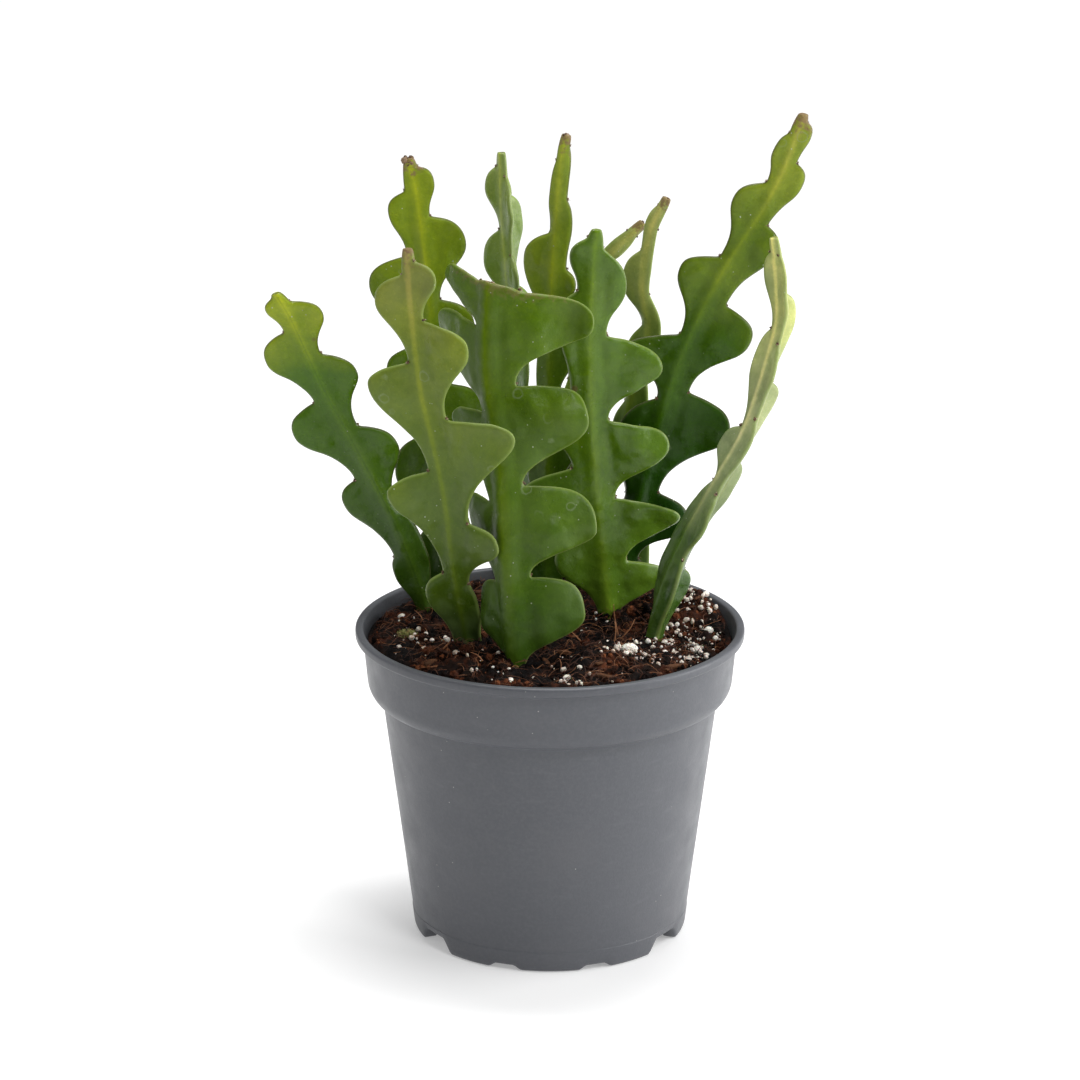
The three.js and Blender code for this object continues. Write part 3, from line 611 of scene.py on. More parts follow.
class Blade:
    """One flat or folded blade of a stem: two wings, or a third wing alone."""

    def __init__(self, stem, right, left, seed):
        self.stem, self.right, self.left = stem, right, left
        self.length, self.path, self.tangent = spine_table(stem["spine"])
        self.total = self.length[-1]
        self.right_rows = wing_outline(stem, right["teeth"], self.total)
        self.left_rows = wing_outline(stem, left["teeth"], self.total) if left else None
        self.seed = seed

    def limits(self, station):
        right = np.interp(station, self.right_rows[:, 0], self.right_rows[:, 1])
        if self.left_rows is None:
            return np.full_like(right, -0.6), right
        return -np.interp(station, self.left_rows[:, 0], self.left_rows[:, 1]), right

    def outline(self):
        right = self.right_rows
        if self.left_rows is None:
            left = np.array([(self.total, -0.6), (0, -0.6)])
        else:
            left = self.left_rows[::-1] * (1, -1)
        return soften(resample(np.vstack([right, left]), OUTLINE_STEP), 3)

    def heading(self, wing, station):
        foot, tip = wing["heading"]
        return np.radians(foot + (tip - foot) * station / self.total)

    def direction(self, angle, tangent, lift):
        flat = np.stack([np.cos(angle), np.sin(angle), np.zeros_like(angle)], axis=-1)
        flat = unit(flat - (flat * tangent).sum(-1, keepdims=True) * tangent)
        lift = lift[..., None]
        return np.cos(lift) * flat + np.sin(lift) * tangent

    def place(self, points):
        """Middle surface and its normal for flat points (station, signed reach)."""
        station, reach = points[:, 0], points[:, 1]
        centre = np.column_stack([np.interp(station, self.length, self.path[:, k])
                                  for k in range(3)])
        tangent = unit(np.column_stack([np.interp(station, self.length, self.tangent[:, k])
                                        for k in range(3)]))
        right = self.heading(self.right, station)
        if self.left:
            straight = self.heading(self.left, station) - np.pi
            bend = (right - straight + np.pi) % (2 * np.pi) - np.pi
        else:
            bend = np.zeros_like(right)
        right_lift = np.radians(self.right["lift"])
        left_lift = -np.radians((self.left or {}).get("lift", 0))

        def heading_at(r):
            share = smoothstep(-FOLD, FOLD, r)
            return right - bend * (1 - share), left_lift + (right_lift - left_lift) * share

        near = np.clip(reach, -FOLD, FOLD)
        steps = 8
        offset = np.zeros_like(centre)
        for k in range(steps):
            r = near * (k + 0.5) / steps
            angle, lift = heading_at(r)
            offset += self.direction(angle, tangent, lift) * (near / steps)[:, None]
        angle, lift = heading_at(reach)
        outward = self.direction(angle, tangent, lift)
        offset += outward * (reach - near)[:, None]
        normal = unit(np.cross(outward, tangent))
        return centre + offset, normal

    def warp(self, points):
        """Slow waves that keep the blade from being dead flat."""
        out = np.clip(np.abs(points[:, 1]) / 20, 0, 1.4)
        wave = np.array([
            noise.noise(Vector((s / 21, r / 15 + self.seed, self.seed * 3.7)))
            for s, r in points])
        ripple = np.array([
            noise.noise(Vector((s / 7, r / 6 + self.seed, self.seed * 1.3)))
            for s, r in points])
        return out ** 1.2 * wave * WARP + np.clip(out * 3, 0, 1) * ripple * RIPPLE

    def build(self):
        outline = self.outline()
        flat = blade_points(outline, self.limits)
        edges = [(k, (k + 1) % len(outline)) for k in range(len(outline))]
        result = delaunay_2d_cdt([Vector(p) for p in flat], edges, [], 1, 1e-5)
        flat = np.array([tuple(v) for v in result[0]])
        triangles = np.array(result[2])
        margin = distance_to(outline, flat)
        margin[margin < 1e-3] = 0
        surface, normal = self.place(flat)
        surface = surface + normal * self.warp(flat)[:, None]
        station, reach = flat[:, 0], np.abs(flat[:, 1])
        along = station / self.total
        core = CORE_AT_FOOT + (CORE_AT_TIP - CORE_AT_FOOT) * along
        round_in = np.clip(margin / EDGE_ROUND, 0, 1)
        edge = EDGE_HALF * np.sqrt(1 - (1 - round_in) ** 2)
        plump = PLUMP * (1 - np.exp(-margin / 4.5)) * (1 - 0.4 * along)
        bead = 0.08 * np.exp(-((margin - 1.1) / 0.7) ** 2)
        width = 1.5 + 1.0 * (1 - along)
        ridge = np.exp(-(reach / width) ** 2)
        groove = GROOVE * np.exp(-((reach - 2.4 * width) / width) ** 2) * smoothstep(1, 5, margin)
        half = edge + plump + bead - groove
        half += np.maximum(core - half, 0) * ridge * smoothstep(0, 2.2, margin)
        inner = np.flatnonzero(margin > 0)
        back_of = np.arange(len(flat))
        back_of[inner] = len(flat) + np.arange(len(inner))
        front = surface + normal * half[:, None]
        back = (surface - normal * half[:, None])[inner]
        a, b, c = (flat[triangles[:, k]] for k in range(3))
        turn = (b[:, 0] - a[:, 0]) * (c[:, 1] - a[:, 1]) - (b[:, 1] - a[:, 1]) * (c[:, 0] - a[:, 0])
        # outward x tangent is the front, so stations run against the turn of the front face
        flip = turn > 0
        triangles[flip] = triangles[flip][:, ::-1]
        faces = np.vstack([triangles, back_of[triangles][:, ::-1]])
        rib = np.exp(-(reach / (0.55 * width)) ** 2)
        marks = dict(along=along, rib=rib, rim=np.clip(margin / 1.2, 0, 1))
        marks = {key: np.r_[values, values[inner]] for key, values in marks.items()}
        return dict(points=np.vstack([front, back]), faces=faces, **marks)


def stem_blades(stem, seed):
    wings = stem["wings"]
    if len(wings) == 2:
        return [Blade(stem, wings[0], wings[1], seed)]
    return [Blade(stem, wings[0], wings[2], seed), Blade(stem, wings[1], None, seed + 0.5)]


def build_stem(stem, seed):
    parts = [blade.build() for blade in stem_blades(stem, seed)]
    starts = np.cumsum([0] + [len(p["points"]) for p in parts])
    obj = make_mesh(
        stem["name"] + "_fine",
        np.vstack([p["points"] for p in parts]) * MM,
        np.vstack([p["faces"] + start for p, start in zip(parts, starts)]))
    for key in ("along", "rib", "rim"):
        set_attribute(obj, key, np.concatenate([p[key] for p in parts]))
    return obj


# ---- small scattered things
def lump(subdivisions):
    """Corners and triangles of a unit ball."""
    ball = bmesh.new()
    bmesh.ops.create_icosphere(ball, subdivisions=subdivisions, radius=1)
    points = np.array([v.co[:] for v in ball.verts])
    faces = np.array([[v.index for v in f.verts] for f in ball.faces])
    ball.free()
    return points, faces


def joined(name, shapes, smooth=True):
    """One mesh of many small shapes: (corners in millimetres, triangles, tint)."""
    starts = np.cumsum([0] + [len(points) for points, _, _ in shapes])
    obj = make_mesh(
        name, np.vstack([points for points, _, _ in shapes]) * MM,
        np.vstack([faces + start for (_, faces, _), start in zip(shapes, starts)]), smooth)
    tints = [np.full(len(points), tint) for points, _, tint in shapes]
    set_attribute(obj, "tint", np.concatenate(tints))
    return obj


def lumps_piece(name, items, subdivisions, roughness, rng, smooth, squareness=1.0):
    """One mesh of rough lumps: balls or, with less squareness than 1, blocks.

    items: (centre, half sizes, turn matrix, tint), in millimetres.
    """
    points, faces = lump(subdivisions)
    points = np.sign(points) * np.abs(points) ** squareness
    shapes = []
    for centre, sizes, turn, tint in items:
        rough = 1 + roughness * (rng.random(len(points)) - 0.5) * 2
        shapes.append(((points * rough[:, None] * sizes) @ turn.T + centre, faces, tint))
    return joined(name, shapes, smooth)


def random_turn(rng):
    a, b, c = rng.random(3) * 2 * math.pi
    return np.array(Matrix.Rotation(a, 3, "X") @ Matrix.Rotation(b, 3, "Y")
                    @ Matrix.Rotation(c, 3, "Z"))


def thread(path, radii, sides=5):
    """Corners and triangles of a thin tube with closed ends along a path."""
    path = np.asarray(path, dtype=float)
    tangent = unit(np.gradient(path, axis=0))
    helper = np.where(np.abs(tangent[:, 2:]) > 0.9, (1.0, 0, 0), (0, 0, 1.0))
    side = unit(np.cross(tangent, helper))
    up = np.cross(side, tangent)
    turn = np.linspace(0, 2 * np.pi, sides, endpoint=False)
    across, along = np.cos(turn)[None, :, None], np.sin(turn)[None, :, None]
    ring = across * side[:, None] + along * up[:, None]
    points = (path[:, None] + ring * np.asarray(radii)[:, None, None]).reshape(-1, 3)
    faces = []
    for row in range(len(path) - 1):
        for k in range(sides):
            a, b = row * sides + k, row * sides + (k + 1) % sides
            faces += [(a, b + sides, b), (a, a + sides, b + sides)]
    last = (len(path) - 1) * sides
    for k in range(1, sides - 1):
        faces += [(0, k, k + 1), (last, last + k + 1, last + k)]
    return points, np.array(faces)


def threads_piece(name, items):
    """One mesh of thin tubes. items: (path, radii, tint), in millimetres."""
    return joined(name, [(*thread(path, radii), tint) for path, radii, tint in items])


# ---- areoles and corky tips
def areole_places():
    """Where each notch's areole sits: place, outward and upward directions, size."""
    places = []
    for stem in STEMS:
        length, path, tangent = spine_table(stem["spine"])
        for wing in stem["wings"]:
            blade = Blade(stem, wing, None, 0)
            for _, _, areole, neck in wing["teeth"]:
                if areole > blade.total - 1.5:
                    continue
                flat = np.array([(areole + 0.25, neck - 0.1), (areole + 0.25, neck + 1)])
                on, _ = blade.place(flat)
                index = np.searchsorted(length, areole)
                places.append((on[0], unit(on[1] - on[0]), tangent[min(index, len(path) - 1)],
                               0.72 if neck > 2.5 else 0.5))
    return places


def build_areoles():
    rng = np.random.default_rng(7)
    scales, wool, bristles = [], [], []
    for place, outward, upward, size in areole_places():
        if place[2] < SOIL_LEVEL + 3:
            continue
        axis = unit(outward + upward * 0.9)
        scales.append((place + axis * 0.2 * size, np.array((0.75, 0.5, 0.6)) * size,
                       random_turn(rng), rng.uniform(0.0, 0.35)))
        for _ in range(4):
            jitter = rng.normal(size=3) * 0.38 * size
            wool.append((place + axis * 0.35 * size + jitter, np.array((0.34, 0.28, 0.3)) * size,
                         random_turn(rng), rng.uniform(0.3, 1.0)))
        for _ in range(4):
            heading = unit(axis + rng.normal(size=3) * 0.45)
            reach = rng.uniform(0.9, 1.7) * size
            path = [place + heading * reach * t for t in (0, 0.5, 1)]
            bristles.append((path, (0.09, 0.07, 0.02), rng.uniform(0.2, 0.9)))
    lumps = lumps_piece("areole_scales", scales + wool, 2, 0.22, rng, True)
    hairs = threads_piece("areole_bristles", bristles)
    material = areole_material()
    mount(lumps, "bark", material)
    mount(hairs, "bark", material)


def build_corky_tips():
    """Dry brown corky lumps at the tips that have stopped growing."""
    rng = np.random.default_rng(11)
    items = []
    for stem in STEMS:
        if stem["tip"] == "green":
            continue
        length, path, tangent = spine_table(stem["spine"])
        big = stem["name"] == "stem_back_left"
        count, spread, size = (16, 1.7, 1.25) if big else (8, 1.0, 0.85)
        if stem["tip"] == "cut":
            count, spread, size = 12, 1.9, 0.6
        down = tangent[-1]
        for k in range(count):
            along = rng.uniform(-2.2, 0.1) if stem["tip"] == "cork" else rng.uniform(-0.7, 0.1)
            across = rng.normal(size=3)
            across -= down * across.dot(down)
            across = unit(across) * rng.uniform(0.3, 1) * spread * (1 + 0.25 * along)
            sizes = np.array((1, 0.75, 0.8)) * size * rng.uniform(0.5, 1)
            items.append((path[-1] + down * along + across, sizes, random_turn(rng),
                          rng.uniform(0, 0.8)))
    mount(lumps_piece("corky_tips", items, 2, 0.2, rng, True), "bark", areole_material())


def areole_material():
    n = Nodes("areole_wool")
    tint = n.attribute("tint")
    colour = n.ramp(tint, [(0.0, (0.05, 0.025, 0.01)), (0.45, (0.2, 0.12, 0.06)),
                           (1.0, (0.55, 0.45, 0.32))])
    colour = n.mix(n.patches(2500, 0.35, 0.65), colour,
                   n.mix(1.0, colour, (0.55, 0.5, 0.45), "MULTIPLY"))
    return n.finish(colour, 0.85, n.bump(n.noise(3000, detail=3), 0.0002, 0.7))


# ---- pot
def pot_profile():
    """Closed section of the pot, from the axis underneath, up outside and back down inside."""
    floor_top = FLOOR_RAISE + WALL
    corners = [  # radius, height, how far the corner is rounded
        (0, 0, 0), (MIDDLE_DISC_RADIUS, 0, 0.4), (MIDDLE_DISC_RADIUS + 2, FLOOR_RAISE, 0.8),
        (BASE_RADIUS - FOOT_RING_WIDTH - 0.4, FLOOR_RAISE, 0.6),
        (BASE_RADIUS - FOOT_RING_WIDTH, 0, 0.4), (BASE_RADIUS + 0.6, 0, 0.7),
        (BASE_RADIUS + 1.2, 1.5, 0.6), (BASE_RADIUS + 1.78, 6.4, 0.2),
        (BASE_RADIUS + 1.64, 6.7, 0.2),
        (BODY_TOP_RADIUS, SHOULDER_BOTTOM - 0.4, 0.7),
        (BODY_TOP_RADIUS + 2.6, SHOULDER_BOTTOM + 0.4, 1.3),
        (BAND_BOTTOM_RADIUS, SHOULDER_TOP - 0.8, 1.7),
        (BAND_TOP_RADIUS, POT_HEIGHT - 3.6, 0.5),
        (LIP_RADIUS - 0.05, POT_HEIGHT - 2.6, 0.5), (LIP_RADIUS, POT_HEIGHT, 1.0),
        (LIP_RADIUS - 2.5, POT_HEIGHT, 0.7), (BAND_TOP_RADIUS - WALL, POT_HEIGHT - 5, 1.5),
        (BAND_BOTTOM_RADIUS - WALL, SHOULDER_TOP + 0.6, 1.0),
        (BODY_TOP_RADIUS + 1.8, SHOULDER_BOTTOM + 1.8, 1.0),
        (BODY_TOP_RADIUS - WALL, SHOULDER_BOTTOM - 0.2, 1.0),
        (BASE_RADIUS + 0.2 - WALL, floor_top, 1.5),
        (MIDDLE_DISC_RADIUS + 2.5, floor_top, 0.8), (MIDDLE_DISC_RADIUS, WALL, 0.4), (0, WALL, 0),
    ]
    points = []
    for index, (r, z, rounding) in enumerate(corners):
        corner = np.array((r, z), dtype=float)
        if rounding == 0:
            points.append(corner)
            continue
        before = np.array(corners[index - 1][:2], dtype=float) - corner
        after = np.array(corners[index + 1][:2], dtype=float) - corner
        start = corner + before * min(rounding / np.linalg.norm(before), 0.48)
        end = corner + after * min(rounding / np.linalg.norm(after), 0.48)
        for t in (0, 0.25, 0.5, 0.75, 1):
            points.append((1 - t) ** 2 * start + 2 * t * (1 - t) * corner + t * t * end)
    return np.array(points)


def lathe(profile, segments):
    """Corners and triangles of a section turned round Z; points on the axis are shared."""
    turn = np.linspace(0, 2 * np.pi, segments, endpoint=False)
    vertices, rows = [], []
    for r, z in profile:
        if r < 1e-6:
            rows.append([len(vertices)] * segments)
            vertices.append((0, 0, z))
        else:
            rows.append(list(range(len(vertices), len(vertices) + segments)))
            vertices += [(r * math.cos(a), r * math.sin(a), z) for a in turn]
    faces = []
    for low, high in zip(rows, rows[1:]):
        for k in range(segments):
            m = (k + 1) % segments
            if low[k] != low[m]:
                faces.append((low[k], low[m], high[m]))
            if high[k] != high[m]:
                faces.append((low[k], high[m], high[k]))
    return np.array(vertices, dtype=float), np.array(faces)


def raise_foot_arches(vertices):
    """Lifts the foot ring's lower edge in arches, where water runs out."""
    arches = [(47, 68, 4.4), (13, 26, 1.4)]  # from and to, in degrees off front or back; height
    radius = np.hypot(vertices[:, 0], vertices[:, 1])
    heading = np.degrees(np.arctan2(vertices[:, 1], vertices[:, 0])) % 360
    off = np.minimum(np.abs(heading - 270), np.minimum(np.abs(heading - 90), np.abs(heading - 450)))
    lift = np.zeros(len(vertices))
    for start, end, height in arches:
        ends = 0.22 * (end - start)
        window = smoothstep(start - 1, start + ends, off) * (1 - smoothstep(end - ends, end + 1, off))
        lift = np.maximum(lift, height * window)
    reach = 7.0
    ring = (radius > BASE_RADIUS - FOOT_RING_WIDTH - 0.5) & (vertices[:, 2] < reach)
    floor = radius < BASE_RADIUS - FOOT_RING_WIDTH + 0.3
    lift = np.where(floor, np.minimum(lift, FLOOR_RAISE - 0.2), lift)
    vertices[ring, 2] += (lift * (1 - vertices[:, 2] / reach))[ring]
    return vertices


def cut(obj, cutter):
    """Boolean difference, applied, with the cutter removed."""
    modifier = obj.modifiers.new("cut", "BOOLEAN")
    modifier.object = cutter
    modifier.solver = "EXACT"
    graph = bpy.context.evaluated_depsgraph_get()
    mesh = bpy.data.meshes.new_from_object(obj.evaluated_get(graph))
    obj.modifiers.clear()
    obj.data = mesh
    bpy.data.objects.remove(cutter)


def build_pot():
    vertices, faces = lathe(pot_profile(), 320)
    vertices = raise_foot_arches(vertices)
    pot = make_mesh("pot_moulding", vertices * MM, faces)
    holes = []
    turn = np.linspace(0, 2 * np.pi, 32, endpoint=False)
    section = [(0, 1), (DRAIN_HOLE_RADIUS, 1), (DRAIN_HOLE_RADIUS, 9), (0, 9)]
    points, triangles = lathe(np.array(section, dtype=float), len(turn))
    for k in range(DRAIN_HOLES):
        angle = (k + 0.5) * 2 * math.pi / DRAIN_HOLES
        centre = (DRAIN_CIRCLE_RADIUS * math.cos(angle), DRAIN_CIRCLE_RADIUS * math.sin(angle), 0)
        holes.append((points + centre, triangles + k * len(points)))
    cutter = make_mesh("drain_hole_cutters", np.vstack([p for p, _ in holes]) * MM,
                       np.vstack([t for _, t in holes]))
    cut(pot, cutter)
    mount(pot, "pot_plastic", pot_material(), "pot")


def pot_material():
    """Grey moulded plastic: satin, faintly pearled, dusty and lightly scuffed."""
    n = Nodes("grey_moulded_plastic")
    cloud = n.noise(11, detail=4)
    colour = n.ramp(cloud, [(0.3, (0.074, 0.078, 0.089)), (0.7, (0.088, 0.092, 0.103))])
    grain = n.patches(900, 0.4, 0.7, 0.0, 0.22, detail=3)
    colour = n.mix(grain, colour, (0.125, 0.128, 0.14))
    smudge = n.patches(38, 0.52, 0.72, 0.0, 0.35, detail=5, roughness=0.65)
    colour = n.mix(smudge, colour, (0.105, 0.105, 0.113))
    specks = n.map_range(n.voronoi(260), 0.035, 0.06, 1.0, 0.0)
    where = n.patches(45, 0.55, 0.62, detail=2)
    dust = n.math("MULTIPLY", specks, where)
    colour = n.mix(n.math("MULTIPLY", dust, 0.8), colour, (0.4, 0.39, 0.37))
    ring = n.add("ShaderNodeMapping", {"Vector": n.position(), "Scale": (0.25, 0.25, 1.0)})
    turning = n.patches(420, 0.6, 0.75, 0.0, 0.18, detail=2, vector=ring.outputs[0])
    colour = n.mix(turning, colour, (0.13, 0.132, 0.145))
    rough = n.patches(120, 0.3, 0.7, 0.34, 0.48)
    rough = n.math("ADD", rough, n.math("MULTIPLY", dust, 0.3))
    broad = n.bump(n.noise(25, detail=2), 0.0012, 0.25)
    fine = n.bump(n.noise(1800, detail=3), 0.00008, 0.6, broad)
    return n.finish(colour, rough, n.bump(dust, 0.0003, 0.5, fine), specular=0.4)


# ---- soil
def soil_profile():
    floor_top = FLOOR_RAISE + WALL + GAP
    wall = [
        (0, WALL + GAP), (MIDDLE_DISC_RADIUS - GAP, WALL + GAP), (MIDDLE_DISC_RADIUS + 2.5, floor_top),
        (BASE_RADIUS - 1.8 - WALL, floor_top), (BASE_RADIUS + 0.2 - WALL - GAP, floor_top + 2.5),
        (BODY_TOP_RADIUS - WALL - GAP, SHOULDER_BOTTOM - 1),
        (BODY_TOP_RADIUS + 1.2, SHOULDER_BOTTOM + 2.4),
        (BAND_BOTTOM_RADIUS - WALL - GAP, SHOULDER_TOP + 0.8),
        (SOIL_RADIUS, SOIL_EDGE - 1.5),
    ]
    top = [(SOIL_RADIUS * (1 - (k / 105) ** 1.05), SOIL_LEVEL) for k in range(106)]
    return np.array(wall + top)


def build_soil():
    vertices, faces = lathe(soil_profile(), 400)
    top = np.flatnonzero(np.abs(vertices[:, 2] - SOIL_LEVEL) < 1e-6)
    for index in top:
        x, y, _ = vertices[index]
        lump_size = noise.fractal(Vector((x / 9, y / 9, 3.1)), 0.7, 2.1, 5)
        crumb = noise.fractal(Vector((x / 2.4, y / 2.4, 8.3)), 0.6, 2.2, 4)
        pits = ripples(x, y, 5, 21.7)
        edge = smoothstep(SOIL_RADIUS, SOIL_RADIUS - 4, math.hypot(x, y))
        uneven = LUMP_HEIGHT * lump_size + CRUMB_HEIGHT * crumb - PIT_DEPTH * max(pits, 0)
        height = soil_height(x, y) + uneven * edge
        vertices[index] = (
            x + edge * 0.5 * ripples(x, y, 1.7, 40), y + edge * 0.5 * ripples(x, y, 1.7, 50),
            height - (1 - edge) * 2.0)
    soil = make_mesh("soil_fine", vertices * MM, faces)
    # the soil's tint drops towards the hollow beside the front stem: painted shade
    set_attribute(soil, "tint", [0.3 * (1 - hollow_shade(x, y)) for x, y, _ in vertices])
    peat = peat_material()
    mount(soil, "peat", peat, "soil")
    return peat


def random_spot(rng, outer=54.0):
    """A place on the soil, in millimetres."""
    r, a = outer * math.sqrt(rng.random()), rng.random() * 2 * math.pi
    return r * math.cos(a), r * math.sin(a)


def build_crumbs(peat):
    """Lumps, crumbs and grit of peat, more of them in drifts."""
    rng = np.random.default_rng(3)
    for name, count, subdivisions, low, high, rough in (
            ("soil_lumps", 220, 3, 0.8, 2.2, 0.16), ("soil_crumbs", 2200, 2, 0.3, 0.95, 0.28),
            ("soil_grit", 5000, 1, 0.12, 0.4, 0.35)):
        items = []
        while len(items) < count:
            x, y = random_spot(rng)
            drift = ripples(x, y, 13, 5.0)
            if rng.random() > 0.55 + drift:
                continue
            size = low + (high - low) * rng.random() ** 2
            sizes = size * np.array((1, rng.uniform(0.6, 1), rng.uniform(0.45, 0.85)))
            height = soil_height(x, y) + rng.uniform(-0.3, 0.5) * size
            # crumbs in the hollow beside the front stem are darkened: painted shade
            tint = rng.random() * (1 - 0.9 * hollow_shade(x, y))
            items.append((np.array((x, y, height)), sizes, random_turn(rng), tint))
        crumbs = lumps_piece(name, items, subdivisions, rough, rng, False)
        mount(crumbs, "peat", peat)


def peat_material():
    """Dark moist peat, from nearly black to reddish brown."""
    n = Nodes("moist_peat")
    # tint holds the crumbs' random tone and the painted shade of the hollow beside the front stem
    tint = n.attribute("tint")
    drift = n.patches(300, 0.3, 0.7, -0.2, 0.4)
    clumps = n.patches(95, 0.38, 0.62, -0.3, 0.22, detail=2)
    shade = n.math("ADD", n.math("MULTIPLY", tint, 0.75), n.math("ADD", drift, clumps))
    colour = n.ramp(shade, [(0.0, (0.002, 0.001, 0.001)), (0.35, (0.011, 0.004, 0.002)),
                            (0.65, (0.06, 0.016, 0.006)), (1.0, (0.2, 0.065, 0.025))])
    rough = n.patches(700, 0.3, 0.7, 0.6, 0.95)
    coarse = n.bump(n.noise(700, detail=6, roughness=0.7), 0.0009, 0.9)
    fine = n.bump(n.noise(2600), 0.00025, 0.8, coarse)
    return n.finish(colour, rough, fine, specular=0.12)


def build_fibres():
    """Root hairs and coir fibres that lie and curl on the soil."""
    rng = np.random.default_rng(5)
    items = []
    for _ in range(1500):
        x, y = random_spot(rng, 54)
        heading = rng.random() * 2 * math.pi
        length = rng.uniform(1.5, 10)
        curl = rng.normal() * 0.16
        steps = 8
        rise = rng.uniform(0.4, 2.4) if rng.random() < 0.35 else rng.uniform(0.1, 0.8)
        path = []
        for k in range(steps):
            heading += curl + rng.normal() * 0.12
            x += math.cos(heading) * length / steps
            y += math.sin(heading) * length / steps
            arch = math.sin(math.pi * k / (steps - 1))
            if math.hypot(x, y) > 54.5:
                break
            path.append((x, y, soil_height(x, y) + 0.5 + rise * arch))
        if len(path) < 4:
            continue
        radius = rng.uniform(0.04, 0.12)
        taper = np.linspace(1, 0.35, len(path)) * radius
        items.append((path, taper, rng.random() ** 1.6))
    items += sprigs(rng)
    mount(threads_piece("soil_fibres", items), "peat", fibre_material())


def sprigs(rng):
    """A few longer orange-brown roots that stand up from the soil."""
    roots = [  # foot, lean, height
        ((21, -6), (-1.5, 0.5), 11), ((22, -6), (4, 1), 6), ((19, -20), (0.6, -1), 9),
        ((10, -12), (-5, 2), 5), ((-33, -24), (3, -2), 5), ((-20, -30), (-4, -1), 4),
        ((30, -30), (3, -2), 4), ((-40, 8), (-2, 1), 4),
    ]
    items = []
    for (x, y), (dx, dy), height in roots:
        bend = rng.normal(size=2) * 0.8
        path = []
        for t in np.linspace(0, 1, 12):
            sway = math.sin(math.pi * t)
            path.append((x + dx * t + bend[0] * sway, y + dy * t + bend[1] * sway,
                         soil_height(x, y) - 0.5 + height * t ** 0.8))
        items.append((path, np.linspace(0.28, 0.08, 12), 0.9))
    return items


def fibre_material():
    n = Nodes("root_fibre")
    colour = n.ramp(n.attribute("tint"), [(0.0, (0.035, 0.01, 0.004)), (0.6, (0.16, 0.05, 0.018)),
                                          (1.0, (0.46, 0.2, 0.08))])
    colour = n.mix(n.patches(1200, 0.3, 0.7, 0.0, 0.5), colour, (0.06, 0.025, 0.014))
    return n.finish(colour, 0.75)


def build_perlite():
    """White grains: the larger ones of the model, and many small ones, densest at the right."""
    rng = np.random.default_rng(9)
    large, small = [], []
    for x, y, width, turn in GRAINS:
        centre = np.array((x, y, soil_height(x, y) + 0.1 * width))
        sizes = np.array((width, 0.8 * width, 0.7 * width)) * 0.47
        turn = np.array(Matrix.Rotation(math.radians(turn), 3, "Z"))
        large.append((centre, sizes, turn, 1.0))
    clusters = [  # centre, spread, grains
        ((24, -24), 7, 50), ((38, -14), 10, 90), ((42, -26), 8, 45), ((44, 4), 8, 70),
        ((44, 22), 7, 60), ((8, -40), 10, 12), ((-40, -8), 9, 14), ((-10, -42), 12, 8)]
    spots = [(c[0] + rng.normal() * w * 0.6, c[1] + rng.normal() * w * 0.6)
             for c, w, count in clusters for _ in range(count)]
    spots += [random_spot(rng, 53) for _ in range(130)]
    for x, y in spots:
        if math.hypot(x, y) > 54:
            continue
        size = 0.22 + 0.85 * rng.random() ** 2.6
        sizes = size * np.array((1, rng.uniform(0.7, 1), rng.uniform(0.6, 0.9)))
        height = soil_height(x, y) + 0.45 * size + 0.2
        small.append((np.array((x, y, height)), sizes, random_turn(rng), rng.uniform(0.4, 1)))
    names = [f"perlite_grain_{k + 1}" for k in range(len(GRAINS))]
    material = perlite_material()
    mount(lumps_piece("perlite_large", large, 4, 0.09, rng, True), "perlite", material, *names)
    mount(lumps_piece("perlite_small", small, 2, 0.16, rng, True), "perlite", material)


def perlite_material():
    n = Nodes("perlite_foam")
    stain = n.patches(380, 0.5, 0.75)
    colour = n.mix(stain, (0.86, 0.82, 0.74), (0.42, 0.28, 0.19))
    colour = n.mix(n.attribute("tint"), (0.42, 0.32, 0.24), colour)
    pores = n.bump(n.voronoi(1500), 0.0004, 0.8)
    skin = n.bump(n.noise(900), 0.0005, 0.7, pores)
    return n.finish(colour, 0.9, skin, scatter=0.1, scatter_scale=0.001)


def build_bark():
    """Splinters of bark: the larger ones of the model and smaller ones among the peat."""
    rng = np.random.default_rng(13)
    items = []
    for x, y, length, turn in CHIPS:
        sizes = np.array((length, 0.34 * length, 0.18 * length)) * 0.49
        matrix = np.array(Matrix.Rotation(math.radians(turn), 3, "Z"))
        items.append((np.array((x, y, soil_height(x, y) + 0.4)), sizes, matrix, rng.random()))
    for _ in range(60):
        x, y = random_spot(rng, 52)
        length = rng.uniform(0.8, 2.2)
        sizes = length * np.array((1, rng.uniform(0.2, 0.45), rng.uniform(0.12, 0.3)))
        turned = Matrix.Rotation(rng.random() * 6.3, 3, "Z")
        tilt = np.array(turned @ Matrix.Rotation(rng.normal() * 0.4, 3, "Y"))
        items.append((np.array((x, y, soil_height(x, y) + 0.4)), sizes, tilt, rng.random()))
    names = [f"bark_chip_{k + 1}" for k in range(len(CHIPS))]
    splinters = lumps_piece("bark_splinters", items, 3, 0.1, rng, False, 0.5)
    mount(splinters, "bark", bark_material(), *names)


def bark_material():
    n = Nodes("bark_splinter")
    lines = n.noise(520, detail=5, distortion=1.5)
    colour = n.ramp(lines, [(0.3, (0.015, 0.005, 0.002)), (0.5, (0.05, 0.017, 0.007)),
                            (0.75, (0.15, 0.06, 0.026))])
    colour = n.mix(n.math("MULTIPLY", n.attribute("tint"), 0.25), colour, (0.2, 0.1, 0.05))
    return n.finish(colour, 0.85, n.bump(lines, 0.0006, 0.9), specular=0.15)


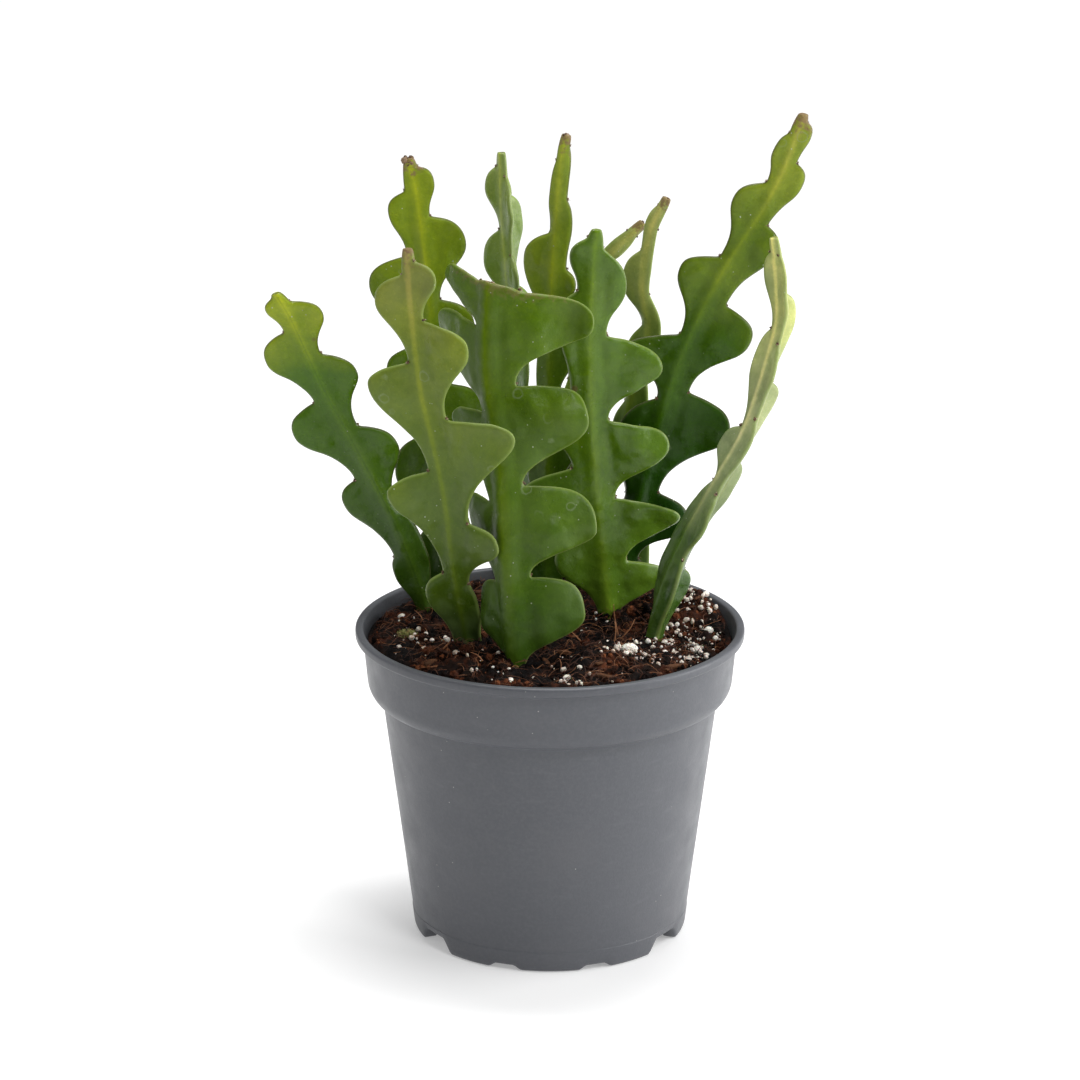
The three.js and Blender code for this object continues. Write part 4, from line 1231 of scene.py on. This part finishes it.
def build_moss():
    """A tuft of fine moss: short pointed leaves on a low dome."""
    rng = np.random.default_rng(17)
    items = []
    for _ in range(260):
        angle, share = rng.random() * 2 * math.pi, math.sqrt(rng.random())
        r = share * MOSS["radius"] * 0.9
        x, y = MOSS["x"] + r * math.cos(angle), MOSS["y"] + r * math.sin(angle)
        dome = 0.6 * MOSS["height"] * math.sqrt(max(1 - share ** 2, 0))
        z = soil_height(MOSS["x"], MOSS["y"]) + dome
        lean = np.array((math.cos(angle) * share, math.sin(angle) * share, 0.9))
        lean = unit(lean + rng.normal(size=3) * 0.35)
        length = rng.uniform(0.6, 1.4)
        path = [np.array((x, y, z - 0.8)) + lean * length * t for t in (0, 0.4, 0.75, 1)]
        items.append((path, (0.12, 0.17, 0.11, 0.03), rng.random()))
    mount(threads_piece("moss_leaves", items), "moss", moss_material(), "moss_tuft")


def moss_material():
    n = Nodes("moss_leaf")
    colour = n.ramp(n.attribute("tint"), [(0.0, (0.1, 0.11, 0.025)), (0.6, (0.28, 0.29, 0.08)),
                                          (1.0, (0.5, 0.48, 0.2))])
    colour = n.mix(n.patches(800, 0.3, 0.7, 0.0, 0.4), colour, (0.1, 0.09, 0.02))
    return n.finish(colour, 0.8)


# ---- stage, light, camera
def build_stage():
    bpy.ops.mesh.primitive_plane_add(size=8, location=(0, 0, -0.0002))
    floor = bpy.context.object
    floor.name = "studio_floor"
    n = Nodes("white_studio_floor")
    paper = {"Base Color": (0.75, 0.75, 0.75, 1), "Roughness": 0.9, "Specular IOR Level": 0.1,
             "Emission Color": (1, 1, 1, 1)}
    for socket, value in paper.items():
        n.shader.inputs[socket].default_value = value
    away = n.add("ShaderNodeVectorMath", {0: n.position()}, operation="LENGTH").outputs["Value"]
    n.link(n.map_range(away, 1.0, 2.2, 0.3, 0.8), "Emission Strength")
    floor.data.materials.append(n.material)

    world = bpy.data.worlds.new("studio")
    world.use_nodes = True
    world.node_tree.nodes["Background"].inputs["Color"].default_value = (1, 1, 1, 1)
    world.node_tree.nodes["Background"].inputs["Strength"].default_value = 0.3
    bpy.context.scene.world = world


def add_softbox(name, place, power, size):
    light = bpy.data.lights.new(name, "AREA")
    light.energy = power
    light.shape = "RECTANGLE"
    light.size, light.size_y = size
    obj = bpy.data.objects.new(name, light)
    obj.location = place
    aim = Vector((0, 0, 0.13)) - Vector(place)
    obj.rotation_euler = aim.to_track_quat("-Z", "Y").to_euler()
    bpy.context.scene.collection.objects.link(obj)


def build_lights():
    for name, place, power, size in SOFTBOXES:
        add_softbox(name, place, power, size)


def build_camera():
    tilt = math.radians(17.69)
    distance = 1.3
    target = Vector((-0.00307, 0, 0.1252))
    camera = bpy.data.cameras.new("camera")
    camera.sensor_width = 36
    camera.lens = 141.5
    obj = bpy.data.objects.new("camera", camera)
    obj.location = target + Vector((0, -distance * math.cos(tilt), distance * math.sin(tilt)))
    obj.rotation_euler = (math.pi / 2 - tilt, 0, 0)
    bpy.context.scene.collection.objects.link(obj)
    bpy.context.scene.camera = obj


# ---- everything together
build_camera()
build_pot()
peat = build_soil()
build_crumbs(peat)
build_fibres()
build_perlite()
build_bark()
build_moss()
slots = {entry["node"]: entry["material_slot"] for entry in frame["record"]["subparts"]}
for number, stem in enumerate(STEMS):
    mount(build_stem(stem, number + 1.0), slots[stem["name"]], flesh_material(stem), stem["name"])
build_areoles()
build_corky_tips()
build_stage()
build_lights()
bpy.context.scene.view_settings.view_transform = "Standard"

bpy.context.view_layer.update()
